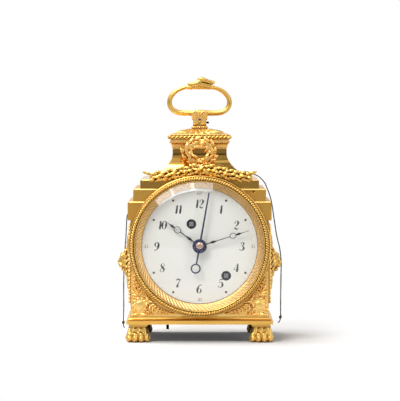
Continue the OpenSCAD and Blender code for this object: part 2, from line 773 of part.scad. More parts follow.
// A lion mask in an oval of leaves
module side_ornament(side) {
    face = side > 0 ? 90 : -90;
    color(gilt) translate([side * half_w, 0, panel_z]) rotate([90, 0, face]) difference() {
        union() {
            for (i = [0:15]) {
                a = i * 22.5;
                translate([15 * cos(a), 19 * sin(a), 0.9]) rotate([0, 0, a])
                    leaf(8, 5.6, 1.9, 0.4);
                translate([6 * cos(a), 7.4 * sin(a), 2.4]) rotate([0, 0, a]) rotate([0, 12, 0])
                    leaf(8.6, 4.4, 2.2, 0);
            }
            hull() for (a = [0:30:330])
                translate([15 * cos(a), 19 * sin(a), 0]) cylinder(r = 1, h = 1.4, $fn = 16);
            lion_head();
        }
        translate([0, 0, -10]) cube([100, 100, 20], center = true);
    }
}

// A lion's head looking along +z
module lion_head() {
    hull() {
        translate([0, 3.4, 1.6]) sphere(r = 6.6, $fn = 16);
        translate([0, -3, 1.6]) sphere(r = 5.4, $fn = 16);
    }
    hull() {
        translate([0, 0.4, 7.4]) sphere(r = 2.1, $fn = 14);
        translate([0, 5, 5.4]) sphere(r = 2.2, $fn = 14);
    }
    for (s = [-1, 1]) {
        translate([s * 1.9, -2.2, 6]) sphere(r = 2.3, $fn = 14);
        translate([s * 3, 4.6, 5.8]) sphere(r = 1.7, $fn = 12);
        translate([s * 5.4, 8.2, 3]) sphere(r = 1.9, $fn = 12);
    }
    hull() {
        translate([0, -5.2, 4.6]) sphere(r = 1.7, $fn = 12);
        translate([0, -7.2, 2.6]) sphere(r = 1.7, $fn = 12);
    }
}
module side_ornament_left() { side_ornament(-1); }
module side_ornament_right() { side_ornament(1); }

// Dial and doors

module dial_plate() {
    color(enamel) on_dial() difference() {
        disc(dial_r, [dial_back, dial_front]);
        disc(hour_pipe_r + 0.4, [dial_back - over, dial_front + over]);
        for (at = [going_at, strike_at]) translate([at[0], at[1], 0])
            disc(winding_r, [dial_back - over, dial_front + over]);
    }
}

// A brass ring that seats in the case front and holds the dial on its ledge
module dial_ring() {
    color(brass) on_dial() rotate_extrude()
        polygon([[dial_r - 2.3, ledge_back], [seat_r, ledge_back], [seat_r, front],
            [seat_r + 2.7, front], [seat_r + 2.7, front + 1.2], [dial_r + 2.3, front + 1.2],
            [dial_r + 2.3, front], [dial_r + 0.9, front], [dial_r + 0.9, dial_back],
            [dial_r - 2.3, dial_back]]);
}

// The door ring: a flared outer edge, a round milled bead and a lip over the glass
module bezel_ring() {
    base = front + gap;
    top = front + bezel_top;
    rebate = front + glass_rim + 0.1;
    zone = knuckle_h * 1.6;
    color(gilt) difference() {
        union() {
            difference() {
                on_dial() rotate_extrude() polygon(concat(
                    [[glass_r + 0.1, base], [bezel_r, base], [bezel_r, base + 2.4]],
                    arc_points([bezel_r, base + 2.4], [bezel_r - 1.4, top - 0.4], false, 2),
                    [[bezel_r - 1.8, top + 0.7], [bezel_r - 3.1, top + 0.7], [lip_r, top + 0.2],
                    [lip_r, rebate], [glass_r + 0.1, rebate]]));
                translate([bezel_hinge_x - 3, -front - hinge_out - 1.8, dial_z - zone])
                    cube([5.1, hinge_out + 1.8, 2 * zone]);
            }
            for (s = [-1, 1]) door_knuckle(bezel_hinge_x, -1, s, 1);
        }
        translate([bezel_hinge_x, -front - hinge_out, dial_z - 10])
            cylinder(r = hinge_pin_r + running / 2, h = 20);
    }
}

// A knuckle of the door, above or below the one on the case, with the web that joins it to the ring
module door_knuckle(x, side, up, inward) {
    z = dial_z + up * (knuckle_h + 0.15);
    translate([x, side * (front + hinge_out), z]) {
        cylinder(r = hinge_r, h = knuckle_h, center = true);
        translate([inward * 0.6, side * 1.1, 0]) cube([1.8, 2.2, knuckle_h], center = true);
    }
}

// The sloping engine turned ring between the glass and the dial
module reflector_ring() {
    color(gilt) on_dial() rotate_extrude()
        polygon([[dial_r + 0.2, front + 0.2], [glass_r, front + 5.5], [glass_r, front + 4.8],
            [dial_r + 0.2, front - 0.45]]);
}

module front_glass() {
    color(glass) on_dial() difference() {
        intersection() {
            disc(glass_r, [front + 4, front + crown_h + 1]);
            translate([0, 0, front + crown_h - glass_ball]) sphere(r = glass_ball, $fn = 300);
        }
        translate([0, 0, front + crown_h - glass_ball]) sphere(r = glass_ball - glass_t, $fn = 300);
    }
}

module bezel_hinge_pin() {
    color(brass) translate([bezel_hinge_x, -front - hinge_out, dial_z - 1.5 * knuckle_h - 0.5])
        cylinder(r = hinge_pin_r, h = 3 * knuckle_h + 1);
}

module back_door_ring() {
    base = -front - gap;
    zone = knuckle_h * 1.6;
    color(gilt) difference() {
        union() {
            difference() {
                on_dial() rotate([0, 0, 90]) rotate_extrude() polygon(concat([[back_glass_r + 0.1, base],
                    [back_ring_r, base], [back_ring_r, base - 2]], arc_points(
                    [back_ring_r, base - 2], [back_ring_r - 1.6, base - back_ring_t], false),
                    [[back_glass_r - 1, base - back_ring_t], [back_glass_r - 1, base - 2.4],
                    [back_glass_r + 0.1, base - 2.4]]));
                translate([back_hinge_x - 2.1, front, dial_z - zone])
                    cube([5.1, hinge_out + 1.8, 2 * zone]);
            }
            for (s = [-1, 1]) door_knuckle(back_hinge_x, 1, s, -1);
        }
        translate([back_hinge_x, front + hinge_out, dial_z - 10])
            cylinder(r = hinge_pin_r + running / 2, h = 20);
        translate([knob_x, front, dial_z]) rotate([-90, 0, 0]) cylinder(r = 0.9, h = 10);
    }
}

module back_glass() {
    color(glass) on_dial() disc(back_glass_r, [-front - gap - 1, -front - gap - 2.4]);
}

module back_hinge_pin() {
    color(brass) translate([back_hinge_x, front + hinge_out, dial_z - 1.5 * knuckle_h - 0.5])
        cylinder(r = hinge_pin_r, h = 3 * knuckle_h + 1);
}

// A small turned knob on a stem, to open the back door
module back_door_knob() {
    stem = front + gap + back_ring_t;
    color(gilt) translate([knob_x, 0, dial_z]) rotate([-90, 0, 0]) {
        translate([0, 0, stem - 3]) cylinder(r = 0.88, h = 4);
        translate([0, 0, stem]) cylinder(r1 = 1.8, r2 = 1.2, h = 1.2);
        translate([0, 0, knob_tip - 2.3]) sphere(r = 2.3);
    }
}

// Movement

module movement_front_plate() {
    color(brass) on_dial() difference() {
        union() {
            disc(plate_r, [plate_front, plate_front_back]);
            for (a = lug_at) rotate([0, 0, a]) translate([dial_r + 0.3, 0, 0])
                disc(1.6, [plate_front_back, ledge_back]);
            for (a = pillar_at) rotate([0, 0, a]) translate([pillar_ring, 0, 0]) {
                disc(2.2, [plate_front, back_plate_front]);
                disc(3, [plate_front_back, plate_front_back - 2.4]);
                disc(3, [back_plate_front, back_plate_front + 2.4]);
            }
            translate([motion_at[0], motion_at[1], 0]) disc(0.8, [plate_front_back, ledge_back + 1]);
        }
        disc(centre_arbor_r + running, [plate_front + over, plate_front_back - over]);
        for (at = [going_at, strike_at]) translate([at[0], at[1], 0])
            disc(arbor_r + running, [plate_front + over, plate_front_back - over]);
        for (at = [third_at, escape_at, pin_wheel_at]) translate([at[0], at[1], 0])
            disc(pivot_r + running, [plate_front + over, plate_front_back - over]);
    }
}

module movement_back_plate() {
    cut = [back_plate_front + over, back_plate_back - over];
    potence = [back_plate_front + 6.4, back_plate_front + 5.4];
    color(brass) on_dial() difference() {
        union() {
            disc(back_plate_r, [back_plate_front, back_plate_back]);
            translate([balance_at[0], balance_at[1] - 4, 0]) disc(1.5, [potence[0], back_plate_front]);
            translate([balance_at[0], balance_at[1], 0]) disc(1.5, potence);
            translate([balance_at[0] - 1.5, balance_at[1] - 4, potence[1]]) cube([3, 4, 1]);
        }
        translate([balance_at[0], balance_at[1], 0]) disc(0.6 + running, [potence[0] + 1, potence[1] - 1]);
        for (at = [[0, 0], going_at, strike_at]) translate([at[0], at[1], 0])
            disc(1.1 + running, cut);
        for (at = [third_at, escape_at, pin_wheel_at, hammer_at]) translate([at[0], at[1], 0])
            disc(pivot_r + running, cut);
        translate([balance_at[0], balance_at[1], 0]) disc(1.6, cut);
    }
}

// A spring barrel: a toothed wheel under its closed drum
module barrel(at, turn) {
    color(brass) on_dial(at) difference() {
        union() {
            gear(great_n, great_m, great_layer, turn);
            disc(drum_r, [great_layer[1], drum_layer[1]]);
        }
        disc(arbor_r + running, [plate_front_back, drum_layer[1] - over]);
    }
}

going_dir = atan2(going_at[1], going_at[0]);
centre_turn = meshed(going_dir + 180, 0, great_n, great_pinion_n);
module going_barrel() { barrel(going_at, 0); }
module strike_barrel() { barrel(strike_at, 0); }

// A winding arbor: a square for the key, a round for the barrel and a back pivot
module winding_arbor(at) {
    square_front = dial_front - 0.4;
    square_back = plate_front + 2;
    color(steel) on_dial(at) {
        translate([0, 0, (square_back + square_front) / 2])
            cube([winding_square, winding_square, square_front - square_back], center = true);
        disc(arbor_r, [square_back + 0.4, drum_layer[1] - 1]);
        disc(1.1, [drum_layer[1], back_plate_back + 0.2]);
        gear(18, 0.5, [plate_front + 0.3, plate_front + 1.5], 0);
    }
}
module going_arbor() { winding_arbor(going_at); }
module strike_arbor() { winding_arbor(strike_at); }

module strike_pin_wheel() {
    color(brass) on_dial(pin_wheel_at) {
        gear(great_pinion_n, great_m, [great_layer[0] + 0.4, great_layer[1] - 0.4],
            meshed(180, 0, great_n, great_pinion_n));
        disc(pivot_r, [plate_front - 0.2, back_plate_back + 0.2]);
        disc(0.9, [plate_front_back - 0.3, back_plate_front + 0.3]);
        difference() {
            disc(pin_wheel_r, pin_layer);
            wheel_windows(2.4, pin_wheel_r - 2.4, 4, pin_layer);
        }
        for (i = [0:7]) rotate([0, 0, i * 45]) translate([pin_wheel_r - 1.1, 0, 0])
            disc(0.5, [pin_layer[0] + 1.4, pin_layer[1]]);
    }
}

// The centre arbor with the great pinion and centre wheel, bored in front for the alarm hand
module centre_wheel() {
    color(brass) on_dial() difference() {
        union() {
            disc(centre_arbor_r, [minute_hand_z + hand_t + 0.2, great_layer[0] + 0.5]);
            disc(1.1, [great_layer[0] + 0.6, back_plate_back + 0.2]);
            gear(great_pinion_n, great_m, [great_layer[0] + 0.4, great_layer[1] - 0.4], centre_turn);
            difference() {
                gear(centre_n, centre_m, centre_layer, 0);
                wheel_windows(2.6, centre_m * centre_n / 2 - 2.2, 4, centre_layer);
            }
        }
        disc(alarm_pin_r + running, [alarm_hand_z + 5, plate_front]);
    }
}

minute_turn = meshed(motion_dir, 0, cannon_n, minute_n);
module cannon_pinion() {
    color(steel) on_dial() difference() {
        union() {
            disc(cannon_r, [plate_front + 0.8, minute_hand_z + hand_t]);
            gear(cannon_n, cannon_m, [minute_layer[0] + 0.4, minute_layer[1] - 0.6], 0);
        }
        disc(centre_arbor_r + 0.01, [plate_front, alarm_hand_z]);
    }
}

module minute_wheel() {
    color(brass) on_dial(motion_at) difference() {
        union() {
            gear(minute_n, cannon_m, minute_layer, minute_turn);
            gear(minute_pinion_n, hour_m, [minute_layer[0], hour_layer[0] + 0.3], minute_turn);
        }
        disc(0.8 + running, [plate_front, ledge_back + 2]);
    }
}

module hour_wheel() {
    color(brass) on_dial() difference() {
        union() {
            gear(hour_n, hour_m, hour_layer,
                meshed(motion_dir + 180, minute_turn, minute_pinion_n, hour_n));
            disc(hour_pipe_r, [hour_layer[1], hour_hand_z + hand_t]);
        }
        disc(cannon_r + running, [plate_front, hour_hand_z + 2]);
    }
}

third_turn = meshed(third_dir, 0, centre_n, third_pinion_n);
module third_wheel() {
    color(brass) on_dial(third_at) {
        gear(third_pinion_n, centre_m, [centre_layer[0] + 0.5, centre_layer[1] - 0.5], third_turn);
        disc(pivot_r, [plate_front - 0.2, back_plate_back + 0.2]);
        disc(0.8, [plate_front_back - 0.3, back_plate_front + 0.3]);
        difference() {
            gear(third_n, third_m, third_layer, 0);
            wheel_windows(2.2, third_m * third_n / 2 - 1.8, 4, third_layer);
        }
    }
}

// Fifteen raked teeth on a light crossed rim
module escape_wheel() {
    tooth = [for (i = [0:escape_n - 1], k = [[0, 1], [-2, 0.8], [-15, 0.74]])
        let (a = i * 360 / escape_n + k[0]) escape_r * k[1] * [cos(a), sin(a)]];
    flipped = [for (i = [len(tooth) - 1:-1:0]) tooth[i]];
    color(brass) on_dial(escape_at) {
        gear(escape_pinion_n, third_m, [third_layer[0] + 0.5, third_layer[1] - 0.5],
            meshed(escape_dir, 0, third_n, escape_pinion_n));
        disc(pivot_r, [plate_front - 0.2, back_plate_back + 0.2]);
        disc(0.7, [plate_front_back - 0.3, back_plate_front + 0.3]);
        difference() {
            translate([0, 0, escape_layer[1]]) linear_extrude(height = 1) polygon(flipped);
            wheel_windows(1.4, escape_r * 0.6, 3, escape_layer);
        }
    }
}

cock_top = back_plate_back - 7;
balance_layer = [back_plate_back - 2.6, back_plate_back - 4.2];
module balance_wheel() {
    color(brass) on_dial(balance_at) {
        difference() {
            disc(balance_r, balance_layer);
            wheel_windows(1.8, balance_r - 1.5, 3, balance_layer);
        }
        disc(0.6, [back_plate_front + 6, cock_top + 0.3]);
    }
}

// The cock that carries the balance's outer pivot
module balance_cock() {
    foot = [7, -12.4];
    color(brass) on_dial(balance_at) difference() {
        union() {
            translate([foot[0], foot[1], 0]) disc(3, [back_plate_back, cock_top - 1.6]);
            disc(4, [cock_top, cock_top - 1.6]);
            rotate([0, 0, atan2(foot[1], foot[0])]) translate([0, -2, cock_top - 1.6])
                cube([norm(foot), 4, 1.6]);
        }
        disc(0.6 + running, [cock_top + over, cock_top - 1.2]);
    }
}

// A shallow bell on its post, with the nut that holds it
module bell() {
    t = 1;
    lip = back_plate_back - 8;
    crown = lip - bell_depth;
    ball = (bell_r * bell_r + bell_depth * bell_depth) / (2 * bell_depth);
    color(brass) on_dial(bell_at) {
        rotate_extrude() difference() {
            intersection() {
                translate([0, crown]) square([bell_r, bell_depth]);
                translate([0, crown + ball]) circle(r = ball, $fn = 120);
            }
            translate([0, crown + ball]) circle(r = ball - t, $fn = 120);
        }
        disc(1.5, [back_plate_back, crown - 2.6]);
        disc(2.8, [crown, crown - 1.6]);
    }
}

module strike_hammer() {
    arm = back_plate_back - 9.5;
    head = hammer_head - hammer_at;
    color(steel) on_dial(hammer_at) {
        disc(pivot_r, [back_plate_front + 6, back_plate_back - 1]);
        disc(1.6, [back_plate_back - 0.4, arm - 1.2]);
        rotate([0, 0, atan2(head[1], head[0])]) translate([0, -0.8, arm - 1.2])
            cube([norm(head), 1.6, 1.2]);
        translate([head[0], head[1], arm - 0.6]) rotate([0, 0, hammer_dir]) rotate([0, 90, 0])
            cylinder(r = 2.4, h = 4.4, center = true);
    }
}

// Hands, drawn pointing up and turned clockwise

// A moon hand's outline: a slim shank with a lozenge, an open ring and a lozenge before its tip
module moon_hand(reach, boss, hole, ring_at, ring_r, lozenge_at, slim) {
    tip_lozenge = ring_at + ring_r + 2.2;
    linear_extrude(height = hand_t) difference() {
        union() {
            circle(r = boss);
            polygon(both_sides([[slim + 0.25, 0], [slim, lozenge_at - 3], [slim + 0.75, lozenge_at],
                [slim, lozenge_at + 3], [slim - 0.05, ring_at]]));
            translate([0, ring_at]) scale([0.84, 1]) circle(r = ring_r);
            polygon(both_sides([[slim, ring_at + ring_r - 0.5], [slim + 0.65, tip_lozenge],
                [0.28, tip_lozenge + 2.2], [0.12, reach]]));
        }
        circle(r = hole);
        translate([0, ring_at]) scale([0.84, 1]) circle(r = ring_r - 0.55);
    }
}

module hour_hand() {
    color(blued) on_dial() rotate([0, 0, -hour_at]) translate([0, 0, hour_hand_z])
        moon_hand(hour_len, 4, hour_pipe_r + 0.01, hour_len * 0.66, 3.1, hour_len * 0.3, 0.4);
}

module minute_hand() {
    color(blued) on_dial() rotate([0, 0, -minute_at]) translate([0, 0, minute_hand_z])
        moon_hand(minute_len, 3.4, cannon_r + 0.01, minute_len * 0.67, 2.7, minute_len * 0.27, 0.33);
}

// A straight hand with a wide boss and a ring for counterpoise, on a pin in the centre arbor
module alarm_hand() {
    ring_at = -18.2;
    color(blued) on_dial() rotate([0, 0, -alarm_at]) {
        translate([0, 0, alarm_hand_z]) linear_extrude(height = hand_t) difference() {
            union() {
                circle(r = 5.7);
                polygon([[-0.8, 0], [0.8, 0], [0.5, alarm_len], [-0.5, alarm_len]]);
                polygon([[-0.8, 0], [0.8, 0], [0.6, ring_at + 3], [-0.6, ring_at + 3]]);
                translate([0, ring_at]) circle(r = 4);
            }
            translate([0, ring_at]) circle(r = 2.9);
        }
        disc(alarm_pin_r, [plate_front + 0.6, alarm_hand_z + 0.1]);
    }
}

module hand_collet() {
    color("#c9957c") on_dial() difference() {
        union() {
            disc(3, [alarm_hand_z + hand_t, alarm_hand_z + hand_t + 0.7]);
            translate([0, 0, alarm_hand_z + hand_t + 0.7]) cylinder(r1 = 2.4, r2 = 1.4, h = 0.7);
        }
        translate([0, 0, collet_top - 0.6]) rotate([90, 0, 30]) cylinder(r = 0.25, h = 8, center = true);
    }
}

// Pull cords with a small bead knotted near each end

module pull_cord_left() { color(cord_olive) tube(left_route, cord_d); }
module pull_cord_right() { color(cord_olive) tube(right_route, cord_d); }

module bead(at) {
    translate(at) difference() {
        sphere(r = 1.3);
        cylinder(r = cord_d / 2 + 0.12, h = 4, center = true);
    }
}
module cord_beads() {
    color(cord_olive) {
        bead(right_route[len(right_route) - 2] + [0.05, 0, 1]);
        bead(left_route[len(left_route) - 2] + [0, 0, 1]);
    }
}

plinth();
foot_front_left();
foot_front_right();
foot_rear_left();
foot_rear_right();
lower_case();
step_lower();
step_middle();
step_upper();
neck();
cornice();
rope_band();
dome_cap();
handle_post();
handle_cup();
handle_pin();
handle_loop();
wreath();
laurel_garland();
spandrel_left();
spandrel_right();
side_panel_left();
side_panel_right();
side_ornament_left();
side_ornament_right();
dial_plate();
dial_ring();
bezel_ring();
reflector_ring();
front_glass();
bezel_hinge_pin();
back_door_ring();
back_glass();
back_hinge_pin();
back_door_knob();
movement_front_plate();
movement_back_plate();
going_barrel();
going_arbor();
strike_barrel();
strike_arbor();
strike_pin_wheel();
centre_wheel();
cannon_pinion();
minute_wheel();
hour_wheel();
third_wheel();
escape_wheel();
balance_wheel();
balance_cock();
bell();
strike_hammer();
strike_lever();
hour_hand();
minute_hand();
alarm_hand();
hand_collet();
pull_cord_left();
pull_cord_right();
cord_beads();
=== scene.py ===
"""Looks of a travelling clock in fire gilt bronze, modelled around its fixed frame.

Tables of sizes are in millimetres and are turned to metres where a mesh is made.
The front faces -Y, +X is the viewer's right and the feet stand on Z = 0.
"""

import json
import math

import bpy
from bpy.props import FloatProperty, FloatVectorProperty, IntProperty, PointerProperty
from bpy.types import Operator, Panel, PropertyGroup
from mathutils import Matrix, Vector
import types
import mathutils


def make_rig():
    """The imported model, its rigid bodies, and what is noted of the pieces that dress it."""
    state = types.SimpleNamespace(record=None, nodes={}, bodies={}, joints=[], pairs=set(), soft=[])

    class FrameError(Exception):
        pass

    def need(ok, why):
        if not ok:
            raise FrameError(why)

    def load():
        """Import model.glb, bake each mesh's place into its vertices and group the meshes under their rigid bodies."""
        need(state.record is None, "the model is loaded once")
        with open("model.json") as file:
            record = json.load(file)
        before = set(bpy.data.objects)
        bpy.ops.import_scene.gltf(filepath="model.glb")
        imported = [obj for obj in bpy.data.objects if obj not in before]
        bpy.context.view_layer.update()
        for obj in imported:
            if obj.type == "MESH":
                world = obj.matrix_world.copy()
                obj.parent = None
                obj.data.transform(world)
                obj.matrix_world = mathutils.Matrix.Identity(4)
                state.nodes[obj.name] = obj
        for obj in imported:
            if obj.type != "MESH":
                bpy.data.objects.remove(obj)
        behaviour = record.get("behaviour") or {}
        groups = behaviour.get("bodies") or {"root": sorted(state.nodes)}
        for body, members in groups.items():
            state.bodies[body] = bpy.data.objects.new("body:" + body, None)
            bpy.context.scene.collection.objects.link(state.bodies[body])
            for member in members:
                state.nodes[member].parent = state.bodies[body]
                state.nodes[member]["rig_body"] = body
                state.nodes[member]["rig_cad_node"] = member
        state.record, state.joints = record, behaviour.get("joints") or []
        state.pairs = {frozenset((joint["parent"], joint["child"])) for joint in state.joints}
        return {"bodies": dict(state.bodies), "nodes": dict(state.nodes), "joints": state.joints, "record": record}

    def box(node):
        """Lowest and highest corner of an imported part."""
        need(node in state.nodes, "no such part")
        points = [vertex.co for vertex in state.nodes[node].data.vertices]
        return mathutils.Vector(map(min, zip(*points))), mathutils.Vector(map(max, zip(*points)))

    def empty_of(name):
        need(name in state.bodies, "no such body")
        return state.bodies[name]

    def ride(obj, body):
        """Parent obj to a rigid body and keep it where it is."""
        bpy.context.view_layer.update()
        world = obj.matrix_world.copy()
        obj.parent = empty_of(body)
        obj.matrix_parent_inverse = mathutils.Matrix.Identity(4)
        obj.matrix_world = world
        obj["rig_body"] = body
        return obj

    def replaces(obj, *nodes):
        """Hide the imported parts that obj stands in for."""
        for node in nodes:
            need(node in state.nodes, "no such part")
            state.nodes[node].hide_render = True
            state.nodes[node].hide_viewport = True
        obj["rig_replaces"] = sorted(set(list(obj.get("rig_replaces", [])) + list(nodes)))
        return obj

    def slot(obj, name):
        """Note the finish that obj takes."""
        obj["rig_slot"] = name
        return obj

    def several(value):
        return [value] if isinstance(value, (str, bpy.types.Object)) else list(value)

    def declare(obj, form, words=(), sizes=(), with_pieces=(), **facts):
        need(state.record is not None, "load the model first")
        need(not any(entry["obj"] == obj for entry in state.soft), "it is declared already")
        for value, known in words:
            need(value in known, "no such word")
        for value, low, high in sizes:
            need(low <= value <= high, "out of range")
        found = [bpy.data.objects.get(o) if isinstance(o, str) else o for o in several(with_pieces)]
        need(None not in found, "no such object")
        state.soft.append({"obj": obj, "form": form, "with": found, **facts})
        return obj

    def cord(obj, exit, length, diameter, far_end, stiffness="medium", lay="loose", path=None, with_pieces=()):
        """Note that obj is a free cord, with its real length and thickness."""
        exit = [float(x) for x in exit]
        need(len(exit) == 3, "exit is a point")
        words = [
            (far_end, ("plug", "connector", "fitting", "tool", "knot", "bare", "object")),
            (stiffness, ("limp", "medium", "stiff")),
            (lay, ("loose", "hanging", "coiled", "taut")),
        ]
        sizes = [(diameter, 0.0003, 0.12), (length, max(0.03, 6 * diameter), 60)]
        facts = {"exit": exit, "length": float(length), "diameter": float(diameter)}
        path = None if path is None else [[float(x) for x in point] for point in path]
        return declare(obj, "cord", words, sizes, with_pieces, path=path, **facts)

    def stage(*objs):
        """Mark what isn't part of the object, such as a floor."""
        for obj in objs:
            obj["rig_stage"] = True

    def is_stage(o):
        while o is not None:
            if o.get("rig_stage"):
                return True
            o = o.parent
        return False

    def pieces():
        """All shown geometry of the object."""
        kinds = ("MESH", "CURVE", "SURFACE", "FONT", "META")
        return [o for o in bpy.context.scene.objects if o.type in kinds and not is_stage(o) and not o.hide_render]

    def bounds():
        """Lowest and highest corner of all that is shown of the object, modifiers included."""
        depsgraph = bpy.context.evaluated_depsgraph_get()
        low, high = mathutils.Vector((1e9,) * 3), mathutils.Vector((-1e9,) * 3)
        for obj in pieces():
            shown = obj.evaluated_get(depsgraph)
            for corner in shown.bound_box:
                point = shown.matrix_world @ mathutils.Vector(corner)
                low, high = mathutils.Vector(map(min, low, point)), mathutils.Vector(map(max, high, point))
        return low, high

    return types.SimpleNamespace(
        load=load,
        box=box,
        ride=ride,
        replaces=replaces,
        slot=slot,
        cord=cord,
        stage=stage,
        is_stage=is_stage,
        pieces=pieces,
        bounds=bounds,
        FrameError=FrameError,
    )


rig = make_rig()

bl_info = {
    "name": "Officer's clock",
    "version": (1, 0, 0),
    "blender": (4, 5, 0),
    "location": "View3D > Sidebar > Clock",
    "description": "Builds the visible pieces of a travelling clock in gilt bronze",
    "category": "Object",
}

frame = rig.load()
FRAME_BOX = [list(corner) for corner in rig.bounds()]

MM = 0.001
SIZE_FILE = "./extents.json"


def node_box(name):
    """Lowest and highest corner of a frame node, in millimetres."""
    low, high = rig.box(name)
    return low / MM, high / MM


# Places that the frame gives, in millimetres
CASE_FRONT = -node_box("step_middle")[0].y
DIAL_LOW, DIAL_HIGH = node_box("dial_plate")
DIAL_Z = (DIAL_LOW.z + DIAL_HIGH.z) / 2
DIAL_R = (DIAL_HIGH.x - DIAL_LOW.x) / 2
DIAL_FRONT = -DIAL_LOW.y
BEZEL_R = node_box("bezel_ring")[1].x
GLASS_R = node_box("front_glass")[1].x
CASE_Z = node_box("lower_case")[0].z
HALF_W = node_box("lower_case")[1].x
NECK_TOP_Z = node_box("neck")[1].z
PLINTH_Z = node_box("plinth")[0].z

# Maps flat work (right, up, towards the viewer) to the front, the back and both sides
TO_FRONT = Matrix(((1, 0, 0, 0), (0, 0, -1, 0), (0, 1, 0, 0), (0, 0, 0, 1)))
TO_BACK = Matrix(((-1, 0, 0, 0), (0, 0, 1, 0), (0, 1, 0, 0), (0, 0, 0, 1)))
TO_RIGHT = Matrix(((0, 0, 1, 0), (1, 0, 0, 0), (0, 1, 0, 0), (0, 0, 0, 1)))
TO_LEFT = Matrix(((0, 0, -1, 0), (-1, 0, 0, 0), (0, 1, 0, 0), (0, 0, 0, 1)))


# Sizes and colours


def length(name, text, millimetres, low=0.0, high=400.0):
    """A property for a length, with its default in millimetres."""
    return FloatProperty(
        name=name, description=text, default=millimetres * MM,
        min=low * MM, max=high * MM, unit="LENGTH", precision=5,
    )


def linear(code):
    """Linear colour, with full cover, from an sRGB hex value such as "e3b24a"."""
    parts = [int(code[i:i + 2], 16) / 255 for i in (0, 2, 4)]
    return (*(c / 12.92 if c <= 0.04045 else ((c + 0.055) / 1.055) ** 2.4 for c in parts), 1.0)


def colour(name, text, code):
    """A property for a colour, with its default as an sRGB hex value."""
    return FloatVectorProperty(
        name=name, description=text, default=linear(code)[:3], size=3,
        min=0.0, max=1.0, subtype="COLOR",
    )


class ClockSizes(PropertyGroup):
    """Sizes of the modelled detail"""

    flute_count: IntProperty(
        name="Flutes", description="Slanting flutes round the reflector ring",
        default=100, min=40, max=200,
    )
    flute_depth: length("Flute depth", "Depth of a flute in the reflector ring", 0.9)
    mill_count: IntProperty(
        name="Milling", description="Cuts round the milled bead, coarser than real ones to show",
        default=170, min=100, max=500,
    )
    mill_depth: length("Milling depth", "Depth of a cut in the milled bead", 0.8)
    numeral_height: length("Numeral height", "Height of an hour numeral", 6.8)
    numeral_radius: length("Numeral radius", "Radius on which the hour numerals stand", 34.2)
    dot_radius: length("Hour dot radius", "Radius on which the hour dots stand", 42.4)
    paint: length("Paint thickness", "How far the fired paint stands proud of the dial", 0.05)
    cord_diameter: length("Cord diameter", "Diameter of a pull cord", 1.0)
    rope_pitch: length("Rope pitch", "Length of one full turn of a strand of the rope band", 6.5)
    leaf: length("Laurel leaf", "Length of a leaf in the wreath and garland", 6.8)


class ClockColours(PropertyGroup):
    """Colours of the finishes"""

    gilt: colour("Gilding", "Fire gilding where it is bright", "dfb765")
    # painted shade: this deep colour is laid into the hollows that ambient occlusion finds
    gilt_deep: colour("Deep gilding", "Fire gilding in the hollows of the chasing", "a5631b")
    burnished: colour("Burnished gilding", "Gilding rubbed to a mirror with an agate", "d3a657")
    enamel: colour("Enamel", "White enamel of the dial", "f1f2ec")
    numeral: colour("Numerals", "Black fired paint of the numerals", "1d1b1d")
    faint: colour("Small figures", "Worn grey paint of the small figures", "9c9c9c")
    cord: colour("Cord", "Twisted silk of the pull cords", "4c4134")
    brass: colour("Movement brass", "Lacquered brass of the movement", "d9b56a")
    blued: colour("Blued steel", "Steel blued by heat", "18234f")


class ClockStage(PropertyGroup):
    """Camera and light"""

    camera_distance: length(
        "Camera distance", "From the clock's front to the camera", 1900, 500, 5000)
    camera_height: length("Camera height", "Height of the camera", 200, -500, 2000)
    picture_height: length(
        "Picture height", "Height that the picture takes in at the clock's front", 320.8, 100, 2000)
    ambient: FloatProperty(
        name="Studio light", description="Strength of the light from the studio's walls",
        default=0.4, min=0.0, max=5.0,
    )


# Materials


def add_node(tree, kind, inputs=(), out=0, stops=(), **settings):
    """Adds a node and gives back its output of that name or number, or all of them for None.
    Inputs are values, or the outputs that feed them, by name or in their order. Stops are a
    ramp's places and colours, and settings are the node's own properties."""
    made = tree.nodes.new("ShaderNode" + kind)
    for name, value in settings.items():
        setattr(made, name, value)
    for key, value in inputs.items() if isinstance(inputs, dict) else enumerate(inputs):
        if isinstance(value, bpy.types.NodeSocket):
            tree.links.new(value, made.inputs[key])
        else:
            made.inputs[key].default_value = value
    for i, (position, value) in enumerate(stops):
        points = made.color_ramp.elements
        point = points[i] if i < len(points) else points.new(position)
        point.position, point.color = position, value
    return made.outputs[out] if len(made.outputs) and out is not None else made.outputs


def tone(code, share=1.0):
    """The colour of a property of that name, or else of that hex value, darkened to a share."""
    own = getattr(bpy.context.scene.clock_colours, code, None) or linear(code)
    return (*(min(1.0, part * share) for part in own[:3]), 1.0)


def new_material(name):
    """An empty material, its tree and the coordinates in metres."""
    material = bpy.data.materials.new(name)
    material.use_nodes = True
    tree = material.node_tree
    tree.nodes.clear()
    return material, tree, add_node(tree, "TexCoord", out="Object")


def shaded(material, inputs, height=None, relief=0.0, depth=0.1):
    """Ends a material in its shader, with a fine relief of so many millimetres where asked."""
    tree = material.node_tree
    if height is not None:
        inputs["Normal"] = add_node(
            tree, "Bump", {"Strength": relief, "Distance": depth * MM, "Height": height})
    add_node(tree, "OutputMaterial", {"Surface": add_node(tree, "BsdfPrincipled", inputs)})
    return material


def laid_over(tree, span, under, over):
    """One colour over another, by a value that goes from low to high as its share goes from
    start to end. Span is the value, low, high, start and end."""
    share = add_node(tree, "MapRange", span)
    return add_node(tree, "Mix", {0: share, 6: under, 7: over}, 2, data_type="RGBA")


